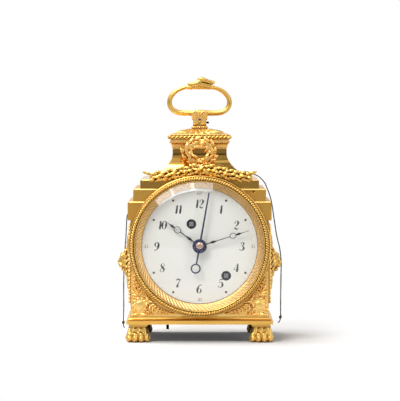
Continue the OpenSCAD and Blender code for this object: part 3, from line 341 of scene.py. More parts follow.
def gilt_material(name, bright, deep, roughness, spread, grain, relief, hollow=1.6, wear=0.25,
                  dim=1.0, under=None):
    """Fire gilt bronze. Mercury gilding is warm and a little uneven: it pales where hands and
    burnishers touch it. In the hollows of the chasing, which ambient occlusion finds, a deep brown
    gold is laid in as painted shade."""
    material, tree, place = new_material(name)
    cloud = add_node(tree, "TexNoise", {
        "Vector": place, "Scale": 1 / (14.0 * MM), "Detail": 4.0, "Roughness": 0.55})
    grit = add_node(tree, "TexNoise", {
        "Vector": place, "Scale": 1 / (grain * MM), "Detail": 2.0, "Roughness": 0.6})
    # painted shade: the gold turns to the deep colour where ambient occlusion finds a hollow
    occlusion_shade = add_node(tree, "AmbientOcclusion", {"Distance": hollow * MM}, "AO", samples=8)
    gold = tone(bright)
    reddened = (gold[0] * 0.86, gold[1] * 0.74, gold[2] * 0.52, 1.0)
    layers = [(cloud, 0.35, 0.65, 0.0, wear, reddened),
              (occlusion_shade, 0.25, 0.85, 1.0, 0.0, tone(deep, dim))]
    if under:
        # nobody gilds the underside, so it has gone dark
        facing = add_node(tree, "SeparateXYZ", (add_node(tree, "NewGeometry", out="Normal"),), "Z")
        layers.append((facing, -0.95, -0.75, 1.0, 0.0, tone(under)))
    for *span, other in layers:
        gold = laid_over(tree, span, gold, other)
    rough = add_node(tree, "MapRange", (cloud, 0.3, 0.7, roughness, roughness + spread))
    return shaded(material, {"Metallic": 1.0, "Base Color": gold, "Roughness": rough}, grit, relief)


def metal_material(name, base, other, roughness, spread, grain, relief, squeeze=(1, 1, 1)):
    """A worked metal. Squeeze narrows the tool marks along an axis, so that they run across it."""
    material, tree, place = new_material(name)
    drawn = add_node(tree, "Mapping", {"Scale": squeeze, "Vector": place})
    marks = add_node(tree, "TexNoise", {
        "Vector": drawn, "Scale": 1 / (grain * MM), "Detail": 3.0, "Roughness": 0.6})
    cloud = add_node(tree, "TexNoise", {
        "Vector": place, "Scale": 1 / (9.0 * MM), "Detail": 3.0, "Roughness": 0.55})
    tint = laid_over(tree, (cloud, 0.35, 0.68, 0.0, 1.0), tone(base), tone(other))
    rough = add_node(tree, "MapRange", (marks, 0.3, 0.7, roughness, roughness + spread))
    return shaded(material, {"Metallic": 1.0, "Base Color": tint, "Roughness": rough},
                  marks, relief, 0.05)


def arbor_material(name, bright, worn, hole_shade):
    """A steel winding arbor: its square end is bright from the key, and behind it the arbor is painted near black,
    painted shade for the depth of the winding hole.
    """
    material, tree, place = new_material(name)
    front = node_box("going_arbor")[0].y + 0.4
    along = add_node(tree, "SeparateXYZ", (place,), "Y")
    marks = add_node(tree, "TexNoise", {
        "Vector": place, "Scale": 1 / (0.4 * MM), "Detail": 3.0, "Roughness": 0.6})
    steel = add_node(tree, "Mix", {0: marks, 6: tone(bright), 7: tone(worn)}, 2, data_type="RGBA")
    steel = laid_over(tree, (along, front * MM, (front + 0.5) * MM, 0.0, 1.0), steel, tone(hole_shade))
    rough = add_node(tree, "MapRange", (marks, 0.3, 0.7, 0.3, 0.5))
    return shaded(material, {"Metallic": 1.0, "Base Color": steel, "Roughness": rough})


def paint_material(name, base, other, roughness):
    """Ceramic paint fired on to the enamel: dense in the strokes, thinner where it has worn."""
    material, tree, place = new_material(name)
    grain = add_node(tree, "TexNoise", {
        "Vector": place, "Scale": 1 / (0.7 * MM), "Detail": 2.0, "Roughness": 0.55})
    tint = laid_over(tree, (grain, 0.55, 0.75, 0.0, 0.6), tone(base), tone(other))
    return shaded(material, {"Roughness": roughness, "IOR": 1.5, "Base Color": tint})


def enamel_material(name, base):
    """White vitreous enamel on copper, fired and polished: glassy, faintly cloudy, with a skin
    that is a little wavy where the powder melted."""
    material, tree, place = new_material(name)
    cloud, skin = (add_node(tree, "TexNoise", {
        "Vector": place, "Scale": 1 / (size * MM), "Detail": detail, "Roughness": 0.55})
        for size, detail in ((22.0, 3.0), (3.2, 1.0)))
    white = tone(base)
    cream = (white[0] * 0.985, white[1] * 0.98, white[2] * 0.93, 1.0)
    tint = laid_over(tree, (cloud, 0.35, 0.7, 0.0, 0.5), white, cream)
    return shaded(material, {"Roughness": 0.14, "IOR": 1.52, "Coat Weight": 0.4,
                             "Coat Roughness": 0.04, "Base Color": tint}, skin, 0.05)


def glass_material(name):
    """Blown and ground clock glass: clear, faintly wavy, with the lamps' light let through it."""
    material, tree, place = new_material(name)
    wave = add_node(tree, "TexNoise", {
        "Vector": place, "Scale": 1 / (30.0 * MM), "Detail": 1.0, "Roughness": 0.55})
    bump = add_node(tree, "Bump", {"Strength": 0.04, "Distance": 0.1 * MM, "Height": wave})
    pane = add_node(tree, "BsdfPrincipled", {
        "Base Color": linear("ffffff"), "Roughness": 0.0, "IOR": 1.5, "Transmission Weight": 1.0,
        "Normal": bump})
    through = add_node(tree, "BsdfTransparent", (linear("ffffff"),))
    ray = add_node(tree, "LightPath", out=None)
    light = add_node(tree, "Math", (ray["Is Shadow Ray"], ray["Is Diffuse Ray"]),
                     operation="MAXIMUM")
    add_node(tree, "OutputMaterial", (add_node(tree, "MixShader", (light, pane, through)),))
    return material


def cord_material(name, base):
    """Twisted silk cord, browned by handling: dull, with the dark lay of its strands."""
    material, tree, place = new_material(name)
    fibre = add_node(tree, "TexNoise", {
        "Vector": place, "Scale": 1 / (0.5 * MM), "Detail": 3.0, "Roughness": 0.7})
    silk = add_node(tree, "ValToRGB", (fibre,), stops=(
        (0.25, tone(base, 0.45)), (0.5, tone(base)), (0.75, tone(base, 1.35))))
    return shaded(material, {"Roughness": 0.75, "IOR": 1.5, "Sheen Weight": 0.3,
                             "Base Color": silk}, fibre, 0.5)


# Each finish with what makes its material and that maker's values: the material's name, its
# colours, its roughness and how far that spreads, its grain in millimetres and its relief
FINISHES = {
    # matted with a punch before gilding, so it glows and mirrors nothing
    "matt": (gilt_material, "bronze_fire_gilt_matted", "gilt", "gilt_deep", 0.36, 0.14, 0.45, 0.35),
    # the plinth's lighter matting, left bare and dark on its underside
    "plinth": (gilt_material, "bronze_fire_gilt_bare_underside", "f3c264", "gilt_deep",
               0.32, 0.12, 0.45, 0.15, 1.6, 0.25, 1.0, "2b2119"),
    # cut on the engine, then gilded: pale ridges, with a deep gold painted into the flutes as painted shade
    "fluted": (gilt_material, "bronze_fire_gilt_engine_turned", "dcb570", "a0641f",
               0.46, 0.1, 0.5, 0.1, 1.3),
    # pale cast leaves, beads and mouldings, with orange gold painted into their hollows as painted shade
    "leafage": (gilt_material, "bronze_fire_gilt_leafage", "f6cd7c", "c8741c",
                0.34, 0.12, 1.4, 0.1, 1.5),
    # the rear feet, painted dark brown as painted shadow, since they stand in the shade under the case
    "dulled": (gilt_material, "bronze_fire_gilt_dulled", "6b4a24", "2c1d12",
               0.42, 0.14, 0.6, 0.3, 2.2),
    # cast and chased ornament, worked with small steel tools
    "chased": (gilt_material, "bronze_fire_gilt_chased", "gilt", "gilt_deep",
               0.27, 0.12, 1.0, 0.15, 2.2),
    # the handle, worn smooth by hands
    "worn": (gilt_material, "bronze_fire_gilt_worn_smooth", "gilt", "gilt_deep",
             0.3, 0.1, 4.0, 0.04, 0.8, 0.3),
    # flat faces rubbed with agate, so they mirror the room and look dark or bright
    "burnished": (gilt_material, "bronze_fire_gilt_burnished", "burnished", "gilt_deep",
                  0.13, 0.12, 1.6, 0.05, 1.0, 0.5, 0.8),
    # the two lower steps, less rubbed, so they take the light softly
    "satin": (gilt_material, "bronze_fire_gilt_satin", "dcab56", "gilt_deep",
              0.3, 0.1, 2.0, 0.05, 1.0, 0.6, 0.8),
    # the neck, rubbed until it mirrors the lamps with sharp edges
    "mirror": (gilt_material, "bronze_fire_gilt_mirror_burnished", "burnished", "gilt_deep",
               0.06, 0.03, 3.0, 0.02, 1.0, 0.5, 0.8),
    # turned on a lathe and left bright under lacquer
    "brass": (metal_material, "brass_turned_lacquered", "brass", "b98f45",
              0.22, 0.15, 0.35, 0.15, (1, 1, 8)),
    # the pale bronze of bells, turned thin and left with the rings of the tool
    "bell": (metal_material, "bell_metal_turned", "d8c08c", "b89a60",
             0.2, 0.12, 0.3, 0.15, (1, 6, 1)),
    # filed and polished steel, gone grey
    "steel": (metal_material, "steel_polished_greyed", "6f7176", "4b4c50",
              0.26, 0.16, 0.4, 0.2, (1, 5, 1)),
    # winding arbors: steel at the square end, and near black painted shade behind it
    "arbor": (arbor_material, "steel_square_bright_end", "8d8e92", "5c5d61", "151413"),
    # lever, peg and handle pin, blackened by oil
    "black_steel": (metal_material, "steel_oil_blackened", "2a2522", "1a1715", 0.4, 0.2, 0.5, 0.3),
    # held over a flame until its skin turned blue
    "blued": (metal_material, "steel_heat_blued", "blued", "141d42", 0.26, 0.12, 0.4, 0.05),
    # heated past blue, to brown and black
    "browned": (metal_material, "steel_heat_browned", "2b1f22", "17151c", 0.3, 0.14, 0.4, 0.1),
    # a reddish alloy, turned and polished, that mirrors the lamps as small bright rings
    "collet": (metal_material, "copper_alloy_turned", "d8bfb4", "b09288", 0.12, 0.1, 0.3, 0.1),
    "numeral": (paint_material, "ceramic_paint_black", "numeral", "3c3a3c", 0.3),
    "faint": (paint_material, "ceramic_paint_worn_grey", "faint", "d0d1cc", 0.35),
    "enamel": (enamel_material, "vitreous_enamel_fired", "enamel"),
    "glass": (glass_material, "clock_glass_blown_ground"),
    "cord": (cord_material, "silk_cord_twisted", "cord"),
}
MADE = {}


def finish(name):
    """The material of that finish, made once."""
    if name not in MADE:
        maker, *values = FINISHES[name]
        MADE[name] = maker(*values)
    return MADE[name]


# Shapes, as closed shells in millimetres

SQUARE = ((-1, -1), (1, -1), (1, 1), (-1, 1))


class Cast:
    """Points and faces of one piece, gathered from closed shells."""

    def __init__(self, *shells):
        self.points = []
        self.faces = []
        for shell in shells:
            self.add(shell)

    def __iter__(self):
        """A cast is itself a shell that another one can take up"""
        return iter((self.points, self.faces))

    def add(self, shell, place=None):
        """Adds a shell, a pair of points and faces, at a place."""
        points, faces = shell
        first = len(self.points)
        for p in points:
            self.points.append(place @ Vector(p) if place is not None else Vector(p))
        flip = place is not None and place.to_3x3().determinant() < 0
        for f in faces:
            row = [first + i for i in f]
            self.faces.append(row[::-1] if flip else row)


def at(x, y, z, turn=0.0, tip=0.0, roll=0.0):
    """A place: rolled about x, tipped about y, turned about z (in degrees), then moved."""
    return (
        Matrix.Translation((x, y, z))
        @ Matrix.Rotation(math.radians(turn), 4, "Z")
        @ Matrix.Rotation(math.radians(tip), 4, "Y")
        @ Matrix.Rotation(math.radians(roll), 4, "X")
    )


def ellipse(rx, ry, z, count, closed=False):
    """Points round an ellipse at a height, with the first one again at the end if closed."""
    return [(rx * math.cos(t), ry * math.sin(t), z) for t in
            [2 * math.pi * i / count for i in range(count + closed)]]


def rings_shell(rings):
    """A closed shell through rings of points, each with as many points, capped at both ends."""
    count = len(rings[0])
    points = [p for ring in rings for p in ring]
    faces = []
    for i in range(len(rings) - 1):
        for j in range(count):
            k = (j + 1) % count
            a, b = i * count, (i + 1) * count
            faces.append((a + j, a + k, b + k, b + j))
    faces.append(tuple(range(count))[::-1])
    faces.append(tuple((len(rings) - 1) * count + j for j in range(count)))
    return points, faces


def grid_shell(top, bottom):
    """A closed shell between an upper and a lower grid of points with the same rows."""
    rows, columns = len(top), len(top[0])
    points = [p for row in top for p in row] + [p for row in bottom for p in row]
    low = rows * columns
    faces = []
    for i in range(rows - 1):
        for j in range(columns - 1):
            a, b = i * columns + j, (i + 1) * columns + j
            faces.append((a, b, b + 1, a + 1))
            faces.append((low + a, low + a + 1, low + b + 1, low + b))
    edge = [(0, j) for j in range(columns)] + [(i, columns - 1) for i in range(1, rows)]
    edge += [(rows - 1, j) for j in range(columns - 2, -1, -1)]
    edge += [(i, 0) for i in range(rows - 2, 0, -1)]
    loop = [i * columns + j for i, j in edge]
    for a, b in zip(loop, loop[1:] + loop[:1]):
        faces.append((a, b, low + b, low + a))
    return points, faces


def blob(rx, ry, rz, around=20, along=12):
    """An ellipsoid about the origin."""
    return rings_shell([
        ellipse(rx * math.sin(v), ry * math.sin(v), -rz * math.cos(v), around)
        for v in [math.pi * i / along for i in range(1, along)]
    ])


def limb(a, b, ra, rb, around=16):
    """A rounded limb from a to b, of radius ra at one end and rb at the other."""
    a, b = Vector(a), Vector(b)
    axis = (b - a).normalized()
    side = axis.orthogonal().normalized()
    other = axis.cross(side)
    quarter = [math.pi / 2 * i / 4 for i in range(5)]
    rings = []
    steps = [(-ra * math.cos(t), ra * math.sin(t), 0) for t in quarter[1:]]
    steps += [(rb * math.sin(t), rb * math.cos(t), 1) for t in quarter[:-1]]
    for along, r, end in steps:
        centre = (b if end else a) + axis * along
        rings.append([
            centre + side * r * math.cos(2 * math.pi * j / around)
            + other * r * math.sin(2 * math.pi * j / around) for j in range(around)
        ])
    return rings_shell(rings)


def spline(points, steps):
    """A smooth line through points of any width, with that many steps between two."""
    rows = []
    last = len(points) - 1
    for i in range(last):
        p = [points[max(i - 1, 0)], points[i], points[i + 1], points[min(i + 2, last)]]
        for k in range(steps):
            t = k / steps
            rows.append([
                0.5 * (2 * b + (c - a) * t + (2 * a - 5 * b + 4 * c - d) * t * t
                       + (3 * b - a - 3 * c + d) * t ** 3)
                for a, b, c, d in zip(*p)
            ])
    rows.append(list(points[last]))
    return rows


def run_lengths(line):
    """How far each point of a line lies from its start, along the line."""
    lengths = [0.0]
    for a, b in zip(line, line[1:]):
        lengths.append(lengths[-1] + math.dist(a, b))
    return lengths


def span_at(lengths, run):
    """The span of a line that a run from its start ends in, and how far into the span it is."""
    k = max(j for j in range(len(lengths) - 1) if lengths[j] <= run)
    return k, (run - lengths[k]) / (lengths[k + 1] - lengths[k])


def tube(path, radius, around, lobes=0, pitch=1.0, deep=0.0, ridge=0.0, ridge_way=None):
    """A tube along a path; radius is a number or one for each point. With lobes, its section
    is lobed and turns once in each pitch, as a twisted cord is. ridge flattens its flanks, so
    that one edge runs along the side that faces ridge_way."""
    points = [Vector(p) for p in path]
    radii = radius if isinstance(radius, (list, tuple)) else [radius] * len(points)
    rings = []
    normal = None
    travelled = 0.0
    for i, p in enumerate(points):
        after = points[min(i + 1, len(points) - 1)]
        before = points[max(i - 1, 0)]
        tangent = (after - before).normalized()
        if normal is None:
            normal = (ridge_way or tangent.orthogonal()).normalized()
        else:
            normal = (normal - tangent * normal.dot(tangent)).normalized()
            travelled += (p - points[i - 1]).length
        other = tangent.cross(normal)
        ring = []
        for j in range(around):
            t = 2 * math.pi * j / around
            r = radii[i]
            if lobes:
                twist = lobes * (t - 2 * math.pi * travelled / pitch)
                r *= 1 - deep * (0.5 - 0.5 * math.cos(twist))
            r *= 1 - ridge * math.sin(2 * t) ** 2
            ring.append(p + normal * r * math.cos(t) + other * r * math.sin(t))
        rings.append(ring)
    return rings_shell(rings)


def turned(profile, steps, shape):
    """A closed outline of (radius, height) points turned round z. shape(angle, index) returns
    what to add to a point's radius and height."""
    points, faces = [], []
    count = len(profile)
    for i in range(steps):
        angle = 2 * math.pi * i / steps
        for k, (r, h) in enumerate(profile):
            dr, dh = shape(angle, k)
            points.append(((r + dr) * math.cos(angle), (r + dr) * math.sin(angle), h + dh))
    for i in range(steps):
        a, b = i * count, ((i + 1) % steps) * count
        for k in range(count):
            m = (k + 1) % count
            faces.append((a + k, b + k, b + m, a + m))
    return points, faces


def laurel(length_, width, rise, curl=0.6, along=9):
    """A laurel leaf along +X with its face to +Z: pointed, cupped, with a raised midrib."""
    across = 6
    top, bottom = [], []
    for i in range(along + 1):
        u = i / along
        half = width / 2 * max(0.04, math.sin(math.pi * min(1, u ** 0.8)) ** 0.8)
        lift = curl * math.sin(math.pi * u * 0.9) + 0.25 * curl * u * u
        upper, lower = [], []
        for j in range(across + 1):
            v = 2 * j / across - 1
            swell = rise * (1 - v * v) ** 0.7 * (0.25 + 0.75 * math.sin(math.pi * u))
            rib = 0.28 * rise * math.exp(-((v / 0.22) ** 2)) * (1 - 0.6 * u)
            upper.append((length_ * u, half * v, lift + swell * 0.75 + rib))
            lower.append((length_ * u, half * v * 0.96, lift - 0.35))
        top.append(upper)
        bottom.append(lower)
    return grid_shell(top, bottom)


def acanthus(length_, width, lobes, rise, bend=0.0, curl=0.0, along=30, across=14):
    """A lobed leaf along +X: a sunk midrib, lobes that swell and grooves that run to their
    tips. bend curves it sideways and curl lifts its tip."""
    top, bottom = [], []
    for i in range(along + 1):
        u = i / along
        shape = math.sin(math.pi * min(1.0, 0.12 + 0.88 * u) ** 0.9) ** 0.75
        wave = abs(math.sin(math.pi * lobes * u)) ** 0.6
        half = width / 2 * max(0.05, shape) * (0.66 + 0.34 * wave)
        centre = Vector((length_ * u, bend * u * u, 0))
        side = Vector((-2 * bend * u / length_, 1, 0)).normalized()
        lift = curl * u ** 2.2
        upper, lower = [], []
        for j in range(across + 1):
            v = 2 * j / across - 1
            swell = rise * (1 - abs(v) ** 2.2)
            swell *= 0.35 + 0.65 * math.sin(math.pi * min(1, u + 0.08))
            groove = 0.26 * rise * math.cos(2 * math.pi * lobes * (u - 0.22 * abs(v)))
            rib = -0.35 * rise * math.exp(-((v / 0.13) ** 2))
            p = centre + side * half * v
            # the side lobes lean towards the tip
            p.x += 0.16 * width * abs(v) * (1 - u)
            upper.append((p.x, p.y, lift + max(0.1, swell * 0.8 - groove * abs(v) + rib)))
            lower.append((p.x, p.y, lift - 0.3))
        top.append(upper)
        bottom.append(lower)
    return grid_shell(top, bottom)


def ribbon_stroke(stroke, thick):
    """A pen stroke through (x, y, width) points, as a thin closed shell above z = 0."""
    line = spline(stroke, 5)
    top, bottom = [], []
    for i, (x, y, w) in enumerate(line):
        ax, ay, _ = line[max(i - 1, 0)]
        bx, by, _ = line[min(i + 1, len(line) - 1)]
        run = math.hypot(bx - ax, by - ay) or 1.0
        nx, ny = -(by - ay) / run * w / 2, (bx - ax) / run * w / 2
        top.append([(x - nx, y - ny, thick), (x + nx, y + ny, thick)])
        bottom.append([(x - nx, y - ny, 0), (x + nx, y + ny, 0)])
    return grid_shell(top, bottom)


def fused(cast, voxel, smooth):
    """One skin round all the shells of a cast, softened as a casting is."""
    mesh = bpy.data.meshes.new("fuse")
    mesh.from_pydata([tuple(p) for p in cast.points], [], cast.faces)
    obj = bpy.data.objects.new("fuse", mesh)
    bpy.context.scene.collection.objects.link(obj)
    skin = obj.modifiers.new("skin", "REMESH")
    skin.mode, skin.voxel_size = "VOXEL", voxel
    if smooth:
        soft = obj.modifiers.new("soft", "SMOOTH")
        soft.factor, soft.iterations = 0.5, smooth
    made = bpy.data.meshes.new_from_object(
        obj.evaluated_get(bpy.context.evaluated_depsgraph_get())
    )
    out = Cast()
    out.points = [v.co.copy() for v in made.vertices]
    out.faces = [list(p.vertices) for p in made.polygons]
    bpy.data.objects.remove(obj)
    bpy.data.meshes.remove(mesh)
    bpy.data.meshes.remove(made)
    return out


def piece(name, cast, material, body="case", replaces=(), slot="gilt_bronze", crease=60):
    """Makes the mesh of a piece, and says which body it rides on and which nodes it stands for."""
    mesh = bpy.data.meshes.new(name)
    mesh.from_pydata([tuple(p * MM) for p in cast.points], [], cast.faces)
    mesh.materials.append(finish(material))
    mesh.shade_smooth()
    mesh.set_sharp_from_angle(angle=math.radians(crease))
    obj = bpy.data.objects.new(name, mesh)
    bpy.context.scene.collection.objects.link(obj)
    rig.ride(obj, body)
    if replaces:
        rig.replaces(obj, *replaces)
    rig.slot(obj, slot)
    return obj


def coat_nodes(names, material, edge=0.0, crease=30):
    """Gives frame nodes their finish and, with edge, softens their sharp edges by that much."""
    for name in names:
        obj = frame["nodes"][name]
        obj.data.materials.clear()
        obj.data.materials.append(finish(material))
        if edge:
            weld = obj.modifiers.new("weld", "WELD")
            weld.merge_threshold = 0.002 * MM
            soft = obj.modifiers.new("edge", "BEVEL")
            soft.width, soft.segments = edge * MM, 2
            soft.limit_method, soft.angle_limit = "ANGLE", math.radians(crease)
            soft.harden_normals = True


# The camera and the cords come first


class CLOCK_OT_camera(Operator):
    """Sets the camera in front of the clock and a little above its shoulders"""

    bl_idname = "clock.camera"
    bl_label = "Camera"

    def execute(self, context):
        stage = context.scene.clock_stage
        # the sensor's width, and the height and place across that the picture's middle shows
        sensor, middle, centre = 36.0, 114.0, 0.3
        camera = bpy.data.cameras.new("camera")
        camera.sensor_width = sensor
        camera.lens = sensor * stage.camera_distance / stage.picture_height
        camera.clip_start, camera.clip_end = 0.05, 20
        obj = bpy.data.objects.new("camera", camera)
        context.scene.collection.objects.link(obj)
        obj.location = (centre * MM, -CASE_FRONT * MM - stage.camera_distance, stage.camera_height)
        aim = Vector((centre * MM, -CASE_FRONT * MM, middle * MM)) - obj.location
        obj.rotation_euler = aim.to_track_quat("-Z", "Y").to_euler()
        context.scene.camera = obj
        return {"FINISHED"}


# Points that the pull cords follow, from where they leave the case to their tips
RIGHT_ROUTE = [
    (32.6, 0, 134.9), (35.5, 0, 135.2), (39.4, 0, 135.4), (43.5, 0, 134), (48.6, 0, 131.6),
    (53, 0, 126.9), (55.2, 0, 122.1), (57.4, 0, 116.4), (59.1, 0, 109.2), (60.6, 0, 99.4),
    (63, 0, 83.8), (65.6, 0, 72.7), (66.8, 0, 61.8), (66.7, 0, 53.2), (66.4, 0, 31),
    (66.2, 0, 15.6), (64.3, 0, 11.9),
]
LEFT_ROUTE = [
    (-57.2, 12, 101.5), (-58.8, 12, 100.6), (-59.9, 12, 97.4), (-60.7, 12, 81.8),
    (-61.3, 12, 74.3), (-62.1, 12, 60), (-62.6, 12, 43.8), (-62.6, 12, 23.7), (-62.9, 12, 10),
    (-62, 12, 6.5),
]


def overhand_knot(centre, size):
    """A small round knot: three turns of cord drawn tight."""
    path = []
    turns, steps = 3, 60
    for i in range(steps + 1):
        t = i / steps
        a = 2 * math.pi * turns * t
        tilt = 0.35 * math.sin(2 * math.pi * t * 2)
        r = size * (0.52 + 0.1 * math.sin(a * 0.5))
        path.append((
            centre[0] + r * math.cos(a),
            centre[1] + r * math.sin(a) * math.cos(tilt),
            centre[2] + size * 1.1 * (0.5 - t) + r * 0.3 * math.sin(a + 1),
        ))
    return tube(path, 0.42 * size, 10)


class CLOCK_OT_cords(Operator):
    """Lays the two twisted pull cords with a knot near each tip"""

    bl_idname = "clock.cords"
    bl_label = "Pull cords"

    def execute(self, context):
        d = context.scene.clock_sizes.cord_diameter / MM
        for name, route in (("pull_cord_left", LEFT_ROUTE), ("pull_cord_right", RIGHT_ROUTE)):
            x, y, z = route[-2]
            tied = Cast(overhand_knot((x, y, z + 1), 1.25))
            knot = piece(f"{name}_knot", tied, "cord", "case", ["cord_beads"], "cord", 80)
            line = spline(route, 14)
            strands = Cast(tube(line, d / 2, 16, lobes=2, pitch=3.2, deep=0.18))
            cord = piece(f"{name}_twisted", strands, "cord", "case", [name], "cord", 80)
            metres = [[c * MM for c in p] for p in line]
            run = sum(math.dist(a, b) for a, b in zip(metres, metres[1:]))
            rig.cord(cord, exit=metres[0], length=run, diameter=d * MM, far_end="knot",
                    stiffness="limp", lay="hanging", path=metres, with_pieces=[knot])
        return {"FINISHED"}


# The case


class CLOCK_OT_case(Operator):
    """Finishes the case: burnished flat walls and matt gilt mouldings"""

    bl_idname = "clock.case"
    bl_label = "Case"

    def execute(self, context):
        coat_nodes(["lower_case", "step_upper"], "burnished", 0.18)
        coat_nodes(["step_lower", "step_middle"], "satin", 0.18)
        self.fillets()
        coat_nodes(["neck"], "mirror", 0.18)
        coat_nodes(["cornice"], "leafage", 0.15)
        coat_nodes(["plinth"], "plinth", 0.15)
        return {"FINISHED"}

    def fillets(self):
        """Bright fillets along the front edge of each step, which end at the door ring"""
        # outline of a fillet: how far behind the case's front, and how far below the step's top
        outline = ((0.3, 0.0), (0.0, 0.0), (-0.5, 0.9), (-0.5, 1.1), (0.3, 1.3))
        clearance, short = 0.3, 1.2
        edges = Cast()
        for name in ("step_lower", "step_middle", "step_upper"):
            high = node_box(name)[1]
            z = high.z
            inner = math.sqrt(max(0.0, (BEZEL_R + clearance) ** 2 - (z - DIAL_Z) ** 2))
            for side in (-1, 1):
                edges.add(rings_shell([
                    [(side * x, -CASE_FRONT + back, z - down) for back, down in outline][::side]
                    for x in (inner, high.x - short)
                ]))
        piece("step_fillets", edges, "leafage", crease=20)


BLOCK = 2.0  # height of the square block over a paw


def lions_paw():
    """A lion's paw with its toes to -Y: long bones, knuckles, pads and claws, and a tufted
    ankle. The centre of the foot is at the origin."""
    top = PLINTH_Z - BLOCK
    soft = Cast(limb((0, 0.6, top - 3.4), (0, 0.6, top), 5.9, 6.5))
    # the ankle and the heel, and the web that keeps the gaps between the toes shallow
    for size, y, z in (((6.6, 5.8, 7.0), 1.2, 7.4), ((7.6, 5.8, 4.4), 1.6, 3.2),
                       ((7.4, 4.4, 4.6), -4.2, 3.6)):
        soft.add(blob(*size), at(0, y, z))
    for x, y, z, r in ((4.0, -4.4, 9.6, 2.1), (4.4, -3.6, top - 1.2, 1.9)):
        soft.add(limb((-x, y, z), (x, y, z), r, r))
    # three sinews down the ankle, with narrow hollows between them
    for x in (-4.7, 0, 4.7):
        soft.add(limb((x * 0.95, -4.6, top + 0.2), (x * 1.1, -5.6, 7.0), 1.75, 2.1))
    # four toes, each with a knuckle, a pad and a claw that comes out over the pad
    for x, reach in ((-6.9, -5.7), (-2.4, -7.2), (2.4, -7.2), (6.9, -5.7)):
        soft.add(blob(2.45, 2.7, 2.5), at(x * 0.94, reach + 0.5, 5.9))
        soft.add(limb((x * 0.96, reach - 0.1, 5.2), (x, reach - 0.7, 3.0), 2.2, 2.3))
        soft.add(blob(2.5, 2.7, 2.3), at(x * 1.02, reach - 0.7, 2.2))
        soft.add(limb((x * 1.02, reach - 2.5, 3.4), (x * 1.04, reach - 3.6, 1.0), 0.95, 0.4))
    for side in (-1, 1):
        soft.add(limb((side * 6.4, 0.4, 9.5), (side * 8.0, -1.4, 3.0), 2.0, 2.3))
        soft.add(blob(2.2, 3.4, 2.4), at(side * 7.8, -0.6, 2.3))
        # tufts of fur behind the ankle
        for k in range(3):
            soft.add(laurel(6.5, 2.6, 0.9), at(side * (5.4 + 0.6 * k), 4.2 - 2.2 * k, top - 1.0,
                                               turn=90 - 90 * side, tip=80, roll=90))
    low = fused(soft, 0.24, 4)
    for p in low.points:
        p.z = min(max(p.z, 0.0), top)
    return low


class CLOCK_OT_feet(Operator):
    """Casts the four lion paw feet under their square blocks"""

    bl_idname = "clock.feet"
    bl_label = "Paw feet"

    def execute(self, context):
        paw = lions_paw()
        half, edge, base = 7.5, 0.25, PLINTH_Z - BLOCK
        for name in ("foot_front_left", "foot_front_right", "foot_rear_left", "foot_rear_right"):
            low, high = node_box(name)
            x = (low.x + high.x) / 2
            # the toes of a front foot reach past its block, so the block is found from its back
            y = high.y - half if high.y - low.y > 2 * half + 1 else (low.y + high.y) / 2
            foot = Cast()
            foot.add(paw, at(x, y, 0))
            foot.add(rings_shell([
                [(x + sx * h, y + sy * h, z) for sx, sy in SQUARE]
                for h, z in ((half - edge, base), (half, base + edge), (half, PLINTH_Z))
            ]))
            # the rear feet take the dark brown finish, which is painted shadow under the case
            piece(f"{name}_paw", foot, "dulled" if "rear" in name else "chased", replaces=[name],
                  crease=40)
        return {"FINISHED"}


class CLOCK_OT_rope(Operator):
    """Twists the rope band round the top of the cornice"""

    bl_idname = "clock.rope"
    bl_label = "Rope band"

    def execute(self, context):
        low, high = node_box("rope_band")
        strand, off, sides, around = 0.88, 0.72, 2, 10
        pitch = context.scene.clock_sizes.rope_pitch / MM
        reach_x, reach_y = high.x - strand - off, high.y - strand - off
        middle, corner = (low.z + high.z) / 2, 1.2
        outline = []
        for cx, cy, start in ((1, 1, 0), (-1, 1, 90), (-1, -1, 180), (1, -1, 270)):
            for k in range(7):
                a = math.radians(start + 15 * k)
                outline.append((cx * (reach_x - corner) + corner * math.cos(a),
                                cy * (reach_y - corner) + corner * math.sin(a)))
        outline.append(outline[0])
        lengths = run_lengths(outline)
        turns = round(lengths[-1] / pitch)
        steps = turns * 14
        cast = Cast()
        for s in range(sides):
            points, faces = [], []
            for i in range(steps):
                k, t = span_at(lengths, lengths[-1] * i / steps)
                (ax, ay), (bx, by) = outline[k:k + 2]
                dx, dy = (bx - ax), (by - ay)
                size = math.hypot(dx, dy)
                out = Vector((dy / size, -dx / size, 0))
                angle = 2 * math.pi * (turns * i / steps + s / sides)
                centre = Vector((ax + dx * t, ay + dy * t, middle))
                centre += out * off * math.cos(angle) + Vector((0, 0, off * math.sin(angle)))
                points += [centre + out * strand * math.cos(w)
                           + Vector((0, 0, strand * math.sin(w)))
                           for w in [2 * math.pi * j / around for j in range(around)]]
                a, b = i * around, ((i + 1) % steps) * around
                for j in range(around):
                    m = (j + 1) % around
                    faces.append((a + j, a + m, b + m, b + j))
            cast.add((points, faces))
        # the flat core that the rope lies round
        hx, hy = reach_x - 0.7, reach_y - 0.7
        cast.add(rings_shell([
            [(sx * hx, sy * hy, z) for sx, sy in SQUARE] for z in (low.z, high.z)]))
        piece("rope_band_twisted", cast, "chased", replaces=["rope_band"])
        return {"FINISHED"}


def dome_height(x, y, half, depth, rise):
    """Height of the pillow shaped dome over its rim."""
    u, v = min(1, abs(x) / half), min(1, abs(y) / depth)
    return rise * (1 - u ** 2.2) ** 0.9 * (1 - v ** 2.2) ** 0.9


